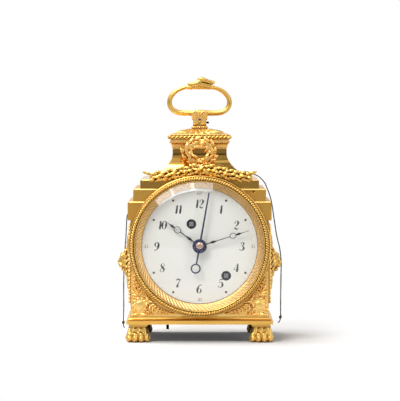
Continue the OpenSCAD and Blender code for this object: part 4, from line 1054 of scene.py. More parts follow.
class CLOCK_OT_dome(Operator):
    """Casts the low dome with leaves that spread from the collar"""

    bl_idname = "clock.dome"
    bl_label = "Dome"

    def execute(self, context):
        low, high = node_box("dome_cap")
        half, depth, relief_room = high.x, high.y, 0.95
        rise = high.z - low.z - relief_room
        # two rows of leaves: where each starts and ends from the middle, and its shift
        rows = ((6.0, 13.0, 0.0), (10.5, 19.5, 0.5))
        top, bottom = [], []
        nx, ny, leaves = 190, 156, 22
        for i in range(nx + 1):
            upper, lower = [], []
            for j in range(ny + 1):
                x, y = half * (2 * i / nx - 1), -depth * (2 * j / ny - 1)
                z = dome_height(x, y, half, depth, rise)
                r, a = math.hypot(x, y), math.atan2(y, x)
                edge = max(abs(x) / half, abs(y) / depth)
                relief = 0.0
                for row, (start, end, shift) in enumerate(rows):
                    t = (r - start) / (end - start)
                    if 0 < t < 1:
                        phase = (a / (2 * math.pi) * leaves + shift) % 1.0 - 0.5
                        shape = max(0.05, math.sin(math.pi * min(1, t ** 0.75)) ** 0.7) * 0.5
                        v = abs(phase) / shape
                        if v < 1:
                            body = 0.85 * (1 - v ** 3) * (0.55 + 0.45 * math.sin(math.pi * t))
                            body += 0.2 * math.exp(-((v / 0.16) ** 2))
                            relief = max(relief, body + 0.15 * (1 - row))
                if edge > 0.93:
                    relief = 0.25
                upper.append((x, y, low.z + 0.25 + z + relief * (1 if edge < 0.99 else 0.2)))
                lower.append((x, y, low.z))
            top.append(upper[::-1])
            bottom.append(lower[::-1])
        piece("dome_leaf_cast", Cast(grid_shell(top, bottom)), "chased", replaces=["dome_cap"],
              crease=70)
        return {"FINISHED"}


# The handle

LOOP_LINE = [  # x, height above the lower bar's centre line, radius
    (-6.0, 20.8, 1.75), (-11.8, 21.0, 1.6), (-16.3, 19.5, 1.65), (-19.8, 17.5, 1.75),
    (-22.3, 14.9, 1.85), (-24.0, 12.0, 1.9), (-24.6, 8.9, 1.95), (-24.1, 5.7, 2.0),
    (-22.2, 2.9, 2.0), (-19.0, 1.0, 2.05), (-15.1, 0.15, 2.1), (-8.0, 0.0, 2.15),
    (0.0, 0.25, 2.4), (8.0, 0.0, 2.15), (15.1, 0.15, 2.1), (18.7, 1.0, 2.05), (21.9, 2.9, 2.0),
    (23.8, 5.7, 2.0), (24.3, 8.9, 1.95), (23.7, 12.0, 1.9), (21.8, 14.9, 1.85),
    (19.3, 17.4, 1.75), (15.9, 19.3, 1.6), (11.8, 20.6, 1.45), (6.0, 20.6, 1.3),
    (0.0, 20.45, 1.15), (-4.0, 20.3, 0.9), (-7.4, 19.9, 0.35),
]


def side_lofted(rows):
    """A shell along +X through (x, top, bottom, half width) rows, a little squared across."""
    squared, around = 2 / 2.3, 18
    rings = []
    for x, top, bottom, half in spline(rows, 4):
        middle, tall = (top + bottom) / 2, max(0.08, (top - bottom) / 2)
        half = max(0.08, half)
        ring = []
        for j in range(around):
            a = 2 * math.pi * j / around
            c, s = math.cos(a), math.sin(a)
            ring.append((x, -half * math.copysign(abs(c) ** squared, c),
                         middle + tall * math.copysign(abs(s) ** squared, s)))
        rings.append(ring)
    return rings_shell([r[::-1] for r in rings])


class CLOCK_OT_handle(Operator):
    """Models the serpent handle: loop, tail, head with open jaws, leaf cup, collar and pin"""

    bl_idname = "clock.handle"
    bl_label = "Serpent handle"

    def execute(self, context):
        bar = node_box("handle_loop")[0].z + 2.05
        line = spline(LOOP_LINE, 7)
        loop = Cast(tube(
            [(x, 0, bar + z) for x, z, r in line], [max(0.2, r * 1.04) for x, z, r in line],
            24, ridge=0.16, ridge_way=Vector((0, 1, 0))))
        # cheek, upper jaw and lower jaw, each as x, top, bottom, half width over the bar
        cheek = [(-10.0, 24.1, 23.8, 0.3), (-8.7, 24.9, 22.4, 1.3), (-6.2, 25.6, 21.3, 2.2),
                 (-3.2, 26.7, 20.9, 2.8), (-0.4, 27.9, 21.0, 3.0), (2.2, 27.8, 21.6, 2.6)]
        upper = [(-2.0, 28.2, 26.2, 1.4), (0.6, 29.7, 25.6, 2.8), (4.2, 28.7, 24.6, 2.9),
                 (7.8, 27.3, 23.9, 2.4), (10.8, 26.5, 23.3, 1.8), (12.6, 26.0, 24.4, 0.9)]
        lower = [(0.6, 25.4, 21.0, 2.6), (3.6, 24.9, 20.9, 2.6), (6.6, 24.2, 20.7, 2.2),
                 (9.4, 23.5, 20.6, 1.7), (11.5, 22.7, 20.9, 0.7)]
        for rows in (cheek, upper, lower):
            loop.add(side_lofted([(x, bar + t, bar + b, w) for x, t, b, w in rows]))
        # the throat fills the space between the head and the coil
        loop.add(limb((-9.0, 0, bar + 20.9), (-0.5, 0, bar + 21.2), 1.2, 1.9))
        for side in (-1, 1):
            # the eye and the brow over it
            loop.add(blob(0.8, 0.45, 0.55), at(4.4, side * 2.75, bar + 26.9))
            loop.add(limb((1.6, side * 2.7, bar + 27.6), (6.2, side * 2.6, bar + 27.4),
                          0.45, 0.35, 10))
        piece("handle_serpent", loop, "worn", "handle", ["handle_loop"], crease=55)
        self.leaf_cup()
        coat_nodes(["handle_cup"], "leafage", 0.2)
        coat_nodes(["handle_post"], "chased")
        self.pin()
        return {"FINISHED"}

    def pin(self):
        """The dark pin, whose head stands out on the right and whose other end is filed flush"""
        low, high = node_box("handle_pin")
        r, middle = high.y, (low.z + high.z) / 2
        rings = [(low.x, r * 0.9), (low.x + 0.15, r), (high.x - 0.5, r), (high.x - 0.15, r * 0.8),
                 (high.x, r * 0.4)]
        pin = Cast(rings_shell([
            [(x, -y, middle + z) for y, z, _ in ellipse(w, w, 0, 24)] for x, w in rings
        ]))
        piece("handle_pin_filed", pin, "black_steel", "handle", ["handle_pin"], "steel", 30)

    def leaf_cup(self):
        """Two broad leaves on each face of the cup, split in the middle, and one at each end.
        They begin above the pin, so that the cup still swings clear of the beaded collar."""
        low, high = node_box("handle_pin")
        pin = (low.z + high.z) / 2
        skin = Cast()
        half_x, half_y = 5.5, 3.2
        skin.add(rings_shell([
            [(sx * (half_x + grow), sy * (half_y + grow * 0.7), pin + z) for sx, sy in SQUARE]
            for grow, z in ((0.05, 3.02), (0.2, 4.6), (0.6, 7.0), (0.75, 8.6), (0.4, 9.3))
        ]))
        rim = [(0.6, 3.3), (0.7, 5.0), (1.4, 7.2), (2.9, 9.0),
               (4.6, 8.8), (6.0, 7.4), (5.9, 5.2), (5.4, 3.3)]
        for face, turn in ((-1, TO_FRONT), (1, TO_BACK)):
            place = Matrix.Translation((0, face * half_y, pin)) @ turn
            for side in (-1, 1):
                edge = [(side * x, y, 0.15 + 0.07 * y) for x, y in spline(rim, 6)]
                skin.add(tube(edge, 0.5, 10), place)
                skin.add(limb((side * 2.8, 3.8, 0.2), (side * 3.2, 7.6, 0.7), 0.6, 0.45, 12), place)
        end = [(-1.2, 2.3), (-2.3, 4), (-2.2, 7.4), (0, 9.2), (2.2, 7.4), (2.3, 4), (1.2, 2.3)]
        leaf = [(x, y, 0.1 * y) for x, y in spline(end, 5)]
        for side, turn in ((-1, TO_LEFT), (1, TO_RIGHT)):
            place = Matrix.Translation((side * half_x, 0, pin)) @ turn
            skin.add(tube(leaf, 0.5, 10), place)
            skin.add(limb((0, 2.6, 0.0), (0, 7.4, 1.0), 0.7, 0.5, 12), place)
        cup = fused(skin, 0.16, 5)
        # thin washers keep the cup from rattling on the tongue
        for side in (-1, 1):
            cup.add(rings_shell([
                [(side * x, y, pin + z) for y, z, _ in ellipse(2.4, 2.4, 0, 32)][::side]
                for x in (1.13, 1.29)
            ]))
        piece("cup_leaves", cup, "leafage", "handle")


# Laurel


def laurel_run(cast, line, leaf, lean, lift, base, spread, pace, wide, wobble, bend, rise, curl):
    """Three rows of overlapping leaves along a flat line of (x, y) points, from its first one on.
    The outer rows lie a spread to the side and lean out; wobble and bend turn the leaves."""
    spots = spline(line, 10)
    lengths = run_lengths(spots)
    step = leaf * pace
    count = int(lengths[-1] / step)
    for n in range(count):
        for row, side in enumerate((-1, 0, 1)):
            run = min(lengths[-1] - 0.01, (n + 0.37 * row % 1) * step)
            k, t = span_at(lengths, run)
            (ax, ay), (bx, by) = spots[k:k + 2]
            x, y = ax + (bx - ax) * t, ay + (by - ay) * t
            turn = math.degrees(math.atan2(by - ay, bx - ax))
            sway = wobble * math.sin(2.4 * n + 1.7 * row)
            size = leaf * (1 + 0.14 * math.sin(1.9 * n + 2.3 * row))
            cast.add(
                laurel(size, size * wide, rise, curl),
                at(x - side * spread * math.sin(math.radians(turn)),
                   y + side * spread * math.cos(math.radians(turn)),
                   base + lift * (1 - 0.4 * abs(side)) + 0.25 * math.sin(3.1 * n + row),
                   turn + bend + lean * side + sway, -8 - 4 * (1 - abs(side)), 20 * side),
            )


def berries(cast, spots, r, base):
    """Small round berries at (x, y) spots"""
    for x, y in spots:
        cast.add(blob(r, r, r, 12, 8), at(x, y, base))


class CLOCK_OT_wreath(Operator):
    """Ties the laurel wreath on the neck"""

    bl_idname = "clock.wreath"
    bl_label = "Laurel wreath"

    def execute(self, context):
        low, high = node_box("wreath")
        centre_z, proud = NECK_TOP_Z - 2.6, 1.6
        leaf = context.scene.clock_sizes.leaf / MM
        rx, ry = 9.8, 7.7
        cast = Cast()
        ring = ellipse(rx, ry, 0.6, 48, True)
        cast.add(tube(ring, 1.9, 12))
        for x, y, _ in ring[::2]:
            cast.add(blob(3.9, 3.5, 2.2, 14, 8), at(x, y, 0.2))
        for side in (-1, 1):
            arc = [(side * rx * math.sin(math.radians(a)), -ry * math.cos(math.radians(a)))
                   for a in range(10, 184, 12)]
            laurel_run(cast, arc, leaf * 1.05, 18, 1.4, 0.9, 2.4, 0.52, 0.48, 8, side * 10,
                       1.5, 1.3)
        # the leaves that spread from the tie below, with berries between them
        for turn, size in ((152, 7.4), (172, 7.0), (198, 6.4), (28, 7.4), (8, 7.0), (-18, 6.4)):
            a = math.radians(turn)
            cast.add(laurel(size, 2.7, 1.1, 0.7),
                     at(2.0 * math.cos(a), -ry - 0.6 + 0.8 * math.sin(a), 1.7, turn, -8))
        berries(cast, ((-4.2, -5.4), (-2.0, -6.0), (0.4, -5.2), (2.6, -6.1), (4.6, -5.2),
                       (-0.9, -7.8), (1.6, -8.0)), 0.85, 2.6)
        # one leaf reaches into the ring
        cast.add(laurel(6.6, 4.0, 1.2, 0.5), at(9.6, 2.6, 1.9, 196))
        placed = Cast()
        placed.add(fused(cast, 0.17, 2), Matrix.Translation((0, high.y, centre_z)) @ TO_FRONT)
        for p in placed.points:
            p.y = min(max(p.y, low.y - proud), high.y)
        piece("wreath_laurel", placed, "leafage", replaces=["wreath"])
        return {"FINISHED"}


class CLOCK_OT_garland(Operator):
    """Lays the crossing laurel branches along the top of the door"""

    bl_idname = "clock.garland"
    bl_label = "Laurel garland"

    def execute(self, context):
        leaf = context.scene.clock_sizes.leaf / MM * 0.92
        line = [(1.5, 138.6), (10, 137.9), (18, 136.3), (26, 134.6), (33, 133.6), (38.6, 133.0)]
        cast = Cast()
        for side in (-1, 1):
            # the right hand branch reaches a little further
            branch = [(-side * 3.0, 137.0)] + [(side * x * (1 + 0.03 * side), z) for x, z in line]
            cast.add(tube([(x, z, 0.3) for x, z in branch], 2.0, 10))
            for x, z in spline(branch, 4):
                cast.add(blob(2.6, 3.3, 1.7, 14, 8), at(x, z, 0.4))
            laurel_run(cast, branch, leaf * 1.05, 22, 1.3, 0.5, 1.9, 0.5, 0.44, 10, 0, 1.4, 1.2)
            berries(cast, [(side * x, z) for x, z in (
                (7, 136.3), (12.5, 139.0), (17.5, 134.6), (22, 137.4), (27.5, 132.6), (32.5, 135.6)
            )], 0.9, 2.6)
            # the cut end of the branch curls away from the tie
            cast.add(tube(spline([(-side * 2.0, 137.2, 1.6), (-side * 6.0, 139.0, 1.8),
                                  (-side * 9.5, 140.2, 1.5)], 5), 0.6, 8))
            cast.add(acanthus(8.0, 2.6, 2, 0.7, side * 1.2),
                     at(side * 38.5, 135.0, 1.0, 90 - side * 82))
        placed = Cast()
        placed.add(fused(cast, 0.2, 1), Matrix.Translation((0, -CASE_FRONT, 0)) @ TO_FRONT)
        for p in placed.points:
            p.y = min(p.y, -CASE_FRONT)
        piece("garland_laurel", placed, "chased", replaces=["laurel_garland"])
        return {"FINISHED"}


# Leafage in the lower corners and lion masks on the sides


def frond(cast, line, reach, base, lean, wide, pace, shrink=0.55):
    """A feathery frond: a stem along (x, y) points with slender leaflets set apart on its sides."""
    spots = spline(line, 8)
    lengths = run_lengths(spots)
    cast.add(tube([(x, y, base + 0.9) for x, y in spots], 0.6, 8))
    run = pace * 0.5
    while run < lengths[-1] - 0.4:
        k = span_at(lengths, run)[0]
        (ax, ay), (bx, by) = spots[k:k + 2]
        turn = math.degrees(math.atan2(by - ay, bx - ax))
        t = run / lengths[-1]
        size = reach * (1 - shrink * t)
        for side in (-1, 1):
            cast.add(laurel(size, wide * (1 - 0.25 * t), 1.2, 0.9),
                     at(ax, ay, base + 0.3, turn + side * (lean - 18 * t), -5, 10 * side))
        run += pace
    (ax, ay), (bx, by) = spots[-2:]
    cast.add(laurel(reach * 0.6, wide, 1.1, 0.5),
             at(bx, by, base + 0.3, math.degrees(math.atan2(by - ay, bx - ax))))


def corner_leafage():
    """Rosette, fronds and palmette of the lower right corner, seen from the front. The rosette's
    centre is the origin and the clock's middle lies towards -X."""
    cast = Cast()
    # the rosette: a low button in a ring of round petals
    for i in range(10):
        a = 36 * i
        cast.add(blob(1.6, 1.55, 0.6, 14, 10), at(4.6 * math.cos(math.radians(a)),
                                                  4.6 * math.sin(math.radians(a)), 0.9, a))
    cast.add(tube(ellipse(6.3, 6.3, 0.5, 40, True), 0.5, 8))
    cast.add(blob(3.5, 3.5, 0.9), at(0, 0, 1.2))
    # the palmette above it, which leans out to the edge of the case
    for turn, size in ((8, 6.6), (32, 8.6), (56, 9.8)):
        cast.add(laurel(size, 2.2, 1.3, 1.1, 12), at(0.2, 7.9, 0.6, turn, -4))
    frond(cast, [(0.0, 7.6), (1.4, 12.5), (3.4, 17.5), (4.6, 22), (4.9, 25.0)],
          5.4, 0.4, 48, 2.0, 2.9)
    # a stem from the bud along the door, and a frond along the base
    frond(cast, [(-5.2, 6.2), (-3.4, 10.2), (-1.0, 14.0), (1.2, 17.6)], 3.0, 0.3, 42, 1.2, 1.9)
    frond(cast, [(-5.4, 3.6), (-8.4, -0.2), (-12.5, -3.2), (-18.0, -5.0), (-24.0, -6.2)],
          6.2, 0.5, 58, 2.1, 2.9, 0.6)
    frond(cast, [(-4.6, -4.2), (-6.4, -6.0), (-9.0, -7.2)], 3.2, 0.4, 40, 1.2, 1.6)
    # the bud in its cup of small leaves
    for turn in (40, 90, 140, 190, 240):
        cast.add(laurel(3.4, 1.6, 0.9, 0.6), at(-5.9, 5.2, 0.7, turn + 30))
    cast.add(blob(1.55, 1.55, 1.5), at(-5.9, 5.2, 1.5))
    # two long leaves under the rosette, and two short ones beside it
    for size, wide, x, y, turn in ((7.4, 2.2, 0.4, -7.2, 184), (6.6, 2.2, 0.2, -7.0, -6),
                                   (4.6, 1.8, 5.6, -5.6, 58), (4.6, 1.8, 6.2, 3.2, 112)):
        cast.add(laurel(size, wide, 1.0, 0.6), at(x, y, 0.5, turn))
    return cast


class CLOCK_OT_spandrels(Operator):
    """Fills both lower corners with rosettes, fronds and laurel leaves"""

    bl_idname = "clock.spandrels"
    bl_label = "Corner leafage"

    def execute(self, context):
        cx, cz = HALF_W - 7.7, CASE_Z + 9.6
        outer, foot, tall, rows, thick = HALF_W - 0.3, CASE_Z + 0.2, 37.0, 40, 0.4
        cast = corner_leafage()
        # the ground of the casting, cut to the corner and to the door
        top, bottom = [], []
        for i in range(rows + 1):
            z = foot + tall * i / rows
            reach = math.sqrt(max(0, (BEZEL_R + 0.5) ** 2 - (DIAL_Z - z) ** 2))
            inner = min(max(reach, 16.0) if i == 0 else reach, outer - 0.3)
            for row, height in ((top, thick), (bottom, 0.0)):
                row.append([(inner + (outer - inner) * t - cx, z - cz, height)
                            for t in (1, 0.5, 0)])
        cast.add(grid_shell(top, bottom))
        skin = fused(cast, 0.19, 2)
        for side, name in ((-1, "spandrel_left"), (1, "spandrel_right")):
            placed = Cast()
            placed.add(skin, Matrix.Translation((side * cx, -CASE_FRONT, cz)) @ TO_FRONT
                       @ Matrix.Diagonal((side, 1, 1, 1)))
            for p in placed.points:
                p.y = min(p.y, -CASE_FRONT)
                p.z = max(p.z, CASE_Z)
                p.x = max(-HALF_W, min(HALF_W, p.x))
                # under the edge of the door the leafage is cut away
                if math.hypot(p.x, p.z - DIAL_Z) < BEZEL_R + 0.35:
                    p.y = max(p.y, -CASE_FRONT - 0.2)
            piece(f"{name}_leafage", placed, "leafage", replaces=[name])
        return {"FINISHED"}


def lion_mask():
    """A lion's mask that looks along +Z, with its mane, in an oval of leaves."""
    # the bridge of the nose, then the skull, forehead, nostrils and chin
    cast = Cast(limb((0, 5.0, 8.0), (0, -0.2, 10.0), 1.5, 1.8))
    for size, y, z in (((7.4, 8.0, 5.6), 1.6, 3.6), ((5.4, 2.4, 2.6), 5.6, 7.2),
                       ((1.9, 1.1, 1.0), -0.9, 10.6), ((2.6, 1.7, 2.2), -6.2, 6.6)):
        cast.add(blob(*size), at(0, y, z))
    # brow, eye, cheek, muzzle and ear of each side
    for size, x, y, z, turn in (
        ((2.5, 1.2, 1.5), 3.1, 4.7, 8.3, 14), ((1.15, 0.8, 0.9, 14, 10), 3.1, 2.9, 7.9, 0),
        ((2.9, 3.9, 3.0), 4.6, -0.4, 5.0, 0), ((2.5, 2.1, 2.3), 2.0, -2.7, 8.7, 0),
        ((2.2, 2.4, 1.5), 6.2, 8.6, 5.0, -30),
    ):
        for s in (-1, 1):
            cast.add(blob(*size), at(s * x, y, z, s * turn))
    # the mane, two rings of leaves
    for shift, count, start, size, height in ((0, 16, 6.4, 6.6, 4.6), (0.5, 18, 8.6, 7.0, 2.8)):
        for i in range(count):
            a = 360 * (i + shift) / count
            cast.add(laurel(size, 3.0, 1.3, 0.9),
                     at(start * 0.92 * math.cos(math.radians(a)),
                        start * 1.08 * math.sin(math.radians(a)), height, a + 12, 16))
    half_x, half_y = 15, 19
    cast.add(tube(ellipse(half_x, half_y, 1.0, 72, True), 1.3, 10))
    for x, y, z in ellipse(half_x, half_y, 1.1, 30):
        out = math.degrees(math.atan2(y / half_y, x / half_x))
        cast.add(acanthus(7.6, 4.0, 2, 1.2, 0, -0.3, 16, 8), at(x, y, z, out))
    for s in (-1, 1):
        # a long leaf stands out above and below, with a small one on each side of it
        cast.add(acanthus(24.0, 9.0, 5, 2.0, 0, -2.6), at(0, s * 6.5, 3.2, s * 90))
        for turn in (-32, 32):
            cast.add(acanthus(8.5, 5.4, 3, 1.4), at(0, s * 20.5, 1.0, s * 90 + turn))
    return cast


class CLOCK_OT_sides(Operator):
    """Sets the beaded panels and the lion masks on both sides"""

    bl_idname = "clock.sides"
    bl_label = "Side panels"

    def execute(self, context):
        skin = fused(lion_mask(), 0.3, 2)
        middle = CASE_Z + 41.6
        for side, turn, sign in (("left", TO_LEFT, -1), ("right", TO_RIGHT, 1)):
            name = f"side_ornament_{side}"
            placed = Cast()
            placed.add(skin, Matrix.Translation((sign * HALF_W, 0, middle)) @ turn)
            for p in placed.points:
                p.x = sign * max(HALF_W, abs(p.x))
            piece(f"{name}_mask", placed, "chased", replaces=[name])
        # a row of beads along both upright edges of each panel
        bead, pitch = 1.15, 3.1
        for name, sign in (("side_panel_left", -1), ("side_panel_right", 1)):
            low, high = node_box(name)
            row = Cast()
            x = sign * (HALF_W + bead + 0.1)
            count = int((high.z - low.z - 2 * bead) / pitch)
            for y in (low.y + 0.4, high.y - 0.4):
                for k in range(count + 1):
                    row.add(blob(bead, bead, bead, 14, 10),
                            at(x, y, low.z + bead + 0.2 + pitch * k))
            piece(f"{name}_beads", row, "leafage")
        coat_nodes(["side_panel_left", "side_panel_right"], "leafage")
        return {"FINISHED"}


# The door


class CLOCK_OT_door(Operator):
    """Turns the milled door ring and the fluted reflector ring, and glazes the door"""

    bl_idname = "clock.door"
    bl_label = "Glazed door"

    def execute(self, context):
        sizes = context.scene.clock_sizes
        self.milled_bead(sizes.mill_count, sizes.mill_depth / MM)
        coat_nodes(["bezel_ring"], "matt", 0.12)
        self.reflector(sizes.flute_count, sizes.flute_depth / MM)
        coat_nodes(["bezel_hinge_pin"], "brass", 0.1)
        coat_nodes(["front_glass"], "glass")
        return {"FINISHED"}

    def milled_bead(self, count, depth):
        """The milled bead of the door ring and the fillets each side of it"""
        inside = [(51.75, 6.9), (51.75, 8.1), (52.0, 8.4), (52.4, 8.4), (52.55, 7.6)]
        outside = [(55.65, 7.0), (55.75, 6.5), (55.95, 6.9), (56.4, 6.8), (BEZEL_R + 0.1, 5.9),
                   (BEZEL_R + 0.1, 3.4), (54.2, 3.4), (52.6, 5.2)]
        bead, bead_r, bead_z, arc = 1.5, 54.1, 7.75, 13
        over = CASE_FRONT
        profile = [(r, over + h) for r, h in inside]
        for k in range(arc):
            a = math.radians(180 - 15 * k)
            profile.append((bead_r + bead * math.cos(a), over + bead_z + bead * math.sin(a)))
        profile += [(r, over + h) for r, h in outside]
        profile = profile[::-1]

        def milled(angle, k):
            if not len(outside) <= k < len(outside) + arc:
                return 0.0, 0.0
            r, h = profile[k][0] - bead_r, profile[k][1] - over - bead_z
            cut = -depth * (0.5 + 0.5 * math.cos(count * angle + 1.2 * r)) ** 2
            return cut * r / bead, cut * h / bead

        self.turned_piece("bezel_milled_bead", profile, count * 8, milled, "chased")

    def reflector(self, flutes, deep):
        """The reflector ring, a cone with slanting flutes"""
        inner, outer, rows = DIAL_R + 0.25, GLASS_R - 0.05, 14
        slope = [(inner + (outer - inner) * i / rows, CASE_FRONT + 0.35 + 5.3 * i / rows)
                 for i in range(rows + 1)]
        profile = (slope + [(outer, CASE_FRONT + 4.9), (inner, CASE_FRONT - 0.3)])[::-1]
        lean = math.tan(math.radians(53))

        def fluted(angle, k):
            k = len(profile) - 1 - k
            if k > rows:
                return 0.0, 0.0
            phase = 0.5 * flutes * (angle - lean * math.log(slope[k][0] / inner))
            edge = min(1.0, 3.0 * min(k, rows - k) / rows)
            dip = -deep * (1 - abs(math.sin(phase)) ** 0.9) * edge
            return -0.66 * dip, 0.75 * dip

        self.turned_piece("reflector_fluted", profile, flutes * 12, fluted, "fluted",
                          ["reflector_ring"])

    def turned_piece(self, name, profile, steps, shape, material, replaces=()):
        """A ring of the door, turned about the dial's middle"""
        ring = Cast()
        ring.add(turned(profile, steps, shape), Matrix.Translation((0, 0, DIAL_Z)) @ TO_FRONT)
        piece(name, ring, material, "front_door", replaces, crease=75)


# The dial

DIGITS = {
    "1": [[(0.05, 0.79, 0.02), (0.16, 0.86, 0.035), (0.26, 0.99, 0.06)],
          [(0.27, 1.0, 0.10), (0.27, 0.6, 0.15), (0.26, 0.2, 0.16), (0.25, 0.0, 0.13)]],
    "2": [[(0.12, 0.70, 0.10), (0.10, 0.86, 0.06), (0.26, 1.0, 0.04), (0.45, 0.86, 0.14),
           (0.44, 0.64, 0.14), (0.28, 0.36, 0.06), (0.08, 0.10, 0.03)],
          [(0.06, 0.06, 0.03), (0.18, 0.12, 0.08), (0.36, 0.03, 0.13), (0.50, 0.08, 0.05),
           (0.54, 0.22, 0.03)]],
    "3": [[(0.12, 0.80, 0.10), (0.16, 0.94, 0.05), (0.30, 1.0, 0.04), (0.44, 0.84, 0.13),
           (0.38, 0.64, 0.08), (0.22, 0.56, 0.03)],
          [(0.22, 0.56, 0.03), (0.42, 0.48, 0.08), (0.50, 0.27, 0.17), (0.40, 0.07, 0.09),
           (0.22, 0.0, 0.03), (0.08, 0.08, 0.06), (0.08, 0.19, 0.10)]],
    "4": [[(0.42, 1.0, 0.03), (0.20, 0.64, 0.03), (0.0, 0.30, 0.03)],
          [(0.0, 0.30, 0.05), (0.3, 0.29, 0.05), (0.60, 0.31, 0.05)],
          [(0.42, 1.0, 0.06), (0.42, 0.6, 0.14), (0.41, 0.2, 0.16), (0.40, 0.0, 0.13)]],
    "5": [[(0.14, 0.98, 0.05), (0.30, 0.93, 0.10), (0.50, 1.0, 0.04)],
          [(0.14, 0.98, 0.03), (0.12, 0.75, 0.03), (0.10, 0.52, 0.03)],
          [(0.10, 0.52, 0.03), (0.24, 0.62, 0.05), (0.44, 0.54, 0.11), (0.52, 0.30, 0.17),
           (0.42, 0.08, 0.10), (0.22, 0.0, 0.03), (0.08, 0.08, 0.06), (0.07, 0.20, 0.10)]],
    "6": [[(0.47, 0.88, 0.09), (0.36, 1.0, 0.05), (0.18, 0.84, 0.09), (0.07, 0.5, 0.17),
           (0.10, 0.18, 0.14), (0.25, 0.0, 0.04), (0.43, 0.11, 0.09), (0.49, 0.30, 0.13),
           (0.40, 0.50, 0.06), (0.26, 0.55, 0.03), (0.13, 0.44, 0.03)]],
    "7": [[(0.06, 0.80, 0.03), (0.09, 0.96, 0.07), (0.23, 0.97, 0.14), (0.38, 0.90, 0.09),
           (0.53, 1.0, 0.03)],
          [(0.53, 1.0, 0.03), (0.42, 0.74, 0.05), (0.30, 0.44, 0.10), (0.24, 0.18, 0.17),
           (0.26, 0.02, 0.14)]],
    "8": [[(0.44, 0.88, 0.06), (0.28, 1.0, 0.03), (0.12, 0.87, 0.08), (0.14, 0.70, 0.13),
           (0.32, 0.52, 0.16), (0.48, 0.31, 0.14), (0.45, 0.10, 0.08), (0.27, 0.0, 0.03),
           (0.08, 0.10, 0.06), (0.07, 0.28, 0.06), (0.22, 0.48, 0.03), (0.40, 0.64, 0.03),
           (0.48, 0.80, 0.05), (0.42, 0.92, 0.04)]],
    "0": [[(0.28, 1.0, 0.03), (0.11, 0.84, 0.10), (0.06, 0.5, 0.16), (0.11, 0.16, 0.10),
           (0.28, 0.0, 0.03), (0.45, 0.16, 0.10), (0.50, 0.5, 0.16), (0.45, 0.84, 0.10),
           (0.28, 1.0, 0.03)]],
}
DIGITS["9"] = [[(0.55 - x, 1 - y, w) for x, y, w in stroke] for stroke in DIGITS["6"]]
# Share of their height that figures take along the line, and that they lean by
ADVANCE = {"1": 0.44}
WIDE = 0.62
SLANT = 0.13


def write_number(cast, text, x, y, height, thick, place):
    """Writes figures with their middle at x, y, in pen strokes that are heavier where broad."""
    pen = x - sum(ADVANCE.get(c, WIDE) for c in text) * height / 2
    for c in text:
        for stroke in DIGITS[c]:
            row = [(pen + (sx + SLANT * (sy - 0.5)) * height, y + (sy - 0.5) * height,
                    w * height * (1.12 + 3.0 * max(0.0, min(w, 0.16) - 0.04)))
                   for sx, sy, w in stroke]
            cast.add(ribbon_stroke(row, thick), place)
        pen += ADVANCE.get(c, WIDE) * height


class CLOCK_OT_dial(Operator):
    """Enamels the dial and fires its figures and dots"""

    bl_idname = "clock.dial"
    bl_label = "Enamel dial"

    def execute(self, context):
        sizes = context.scene.clock_sizes
        coat_nodes(["dial_plate"], "enamel", 0.25, 50)
        coat_nodes(["dial_ring"], "brass", 0.15)
        thick, height = sizes.paint / MM, sizes.numeral_height / MM
        # the small figures stand on a ring a little wider than high
        small_x, small_y, small_height = 42.9, 42.7, 2.9
        hour_dot, minute_r, minute_dot = 0.95, 44.6, 0.26
        quarters = {3: "15", 6: "30", 9: "45", 12: "60"}
        place = Matrix.Translation((0, -DIAL_FRONT + 0.02, DIAL_Z - 0.4)) @ TO_FRONT
        hours, small = Cast(), Cast()
        for hour in range(1, 13):
            a = math.radians(90 - 30 * hour)
            x, y, r = math.cos(a), math.sin(a), sizes.numeral_radius / MM
            write_number(hours, str(hour), r * x, r * y, height, thick, place)
            if hour in quarters:
                write_number(small, quarters[hour], small_x * x, small_y * y, small_height,
                             thick, place)
            else:
                r = sizes.dot_radius / MM
                self.dot(hours, r * x, r * y, hour_dot, thick, place)
        for x, y, _ in [spot for minute, spot in enumerate(ellipse(minute_r, minute_r, 0, 60))
                        if minute % 15 not in (0, 1, 14)]:
            self.dot(small, x, y, minute_dot, thick, place)
        piece("dial_figures", hours, "numeral", slot="enamel", crease=30)
        piece("dial_small_figures", small, "faint", slot="enamel", crease=30)
        return {"FINISHED"}

    def dot(self, cast, x, y, r, thick, place):
        """A round touch of paint"""
        rings = [[(x + a, y + b, z) for a, b, _ in ellipse(r, r, 0, 20)] for z in (0, thick)]
        cast.add(rings_shell(rings), place)


class CLOCK_OT_hands(Operator):
    """Finishes the moon hands, the alarm hand and the collet over them"""

    bl_idname = "clock.hands"
    bl_label = "Hands"

    def execute(self, context):
        coat_nodes(["hour_hand", "minute_hand"], "browned", 0.18)
        coat_nodes(["alarm_hand"], "blued", 0.2)
        coat_nodes(["hand_collet"], "collet", 0.12)
        return {"FINISHED"}


class CLOCK_OT_back_door(Operator):
    """Finishes the glazed back door and its knob"""

    bl_idname = "clock.back_door"
    bl_label = "Back door"

    def execute(self, context):
        coat_nodes(["back_door_ring"], "matt", 0.15)
        coat_nodes(["back_door_knob"], "chased")
        coat_nodes(["back_hinge_pin"], "brass", 0.1)
        coat_nodes(["back_glass"], "glass")
        return {"FINISHED"}


class CLOCK_OT_movement(Operator):
    """Finishes the movement: brass plates and wheels, steel arbors, the bell and the levers"""

    bl_idname = "clock.movement"
    bl_label = "Movement"

    def execute(self, context):
        coat_nodes(["movement_front_plate", "movement_back_plate", "balance_cock"], "brass", 0.15)
        coat_nodes(["going_barrel", "strike_barrel", "strike_pin_wheel", "centre_wheel",
                    "minute_wheel", "hour_wheel", "third_wheel", "escape_wheel", "balance_wheel"],
                   "brass")
        coat_nodes(["cannon_pinion", "strike_hammer"], "steel", 0.1)
        coat_nodes(["going_arbor", "strike_arbor"], "arbor", 0.1)
        coat_nodes(["strike_lever"], "black_steel", 0.1)
        coat_nodes(["bell"], "bell")
        return {"FINISHED"}


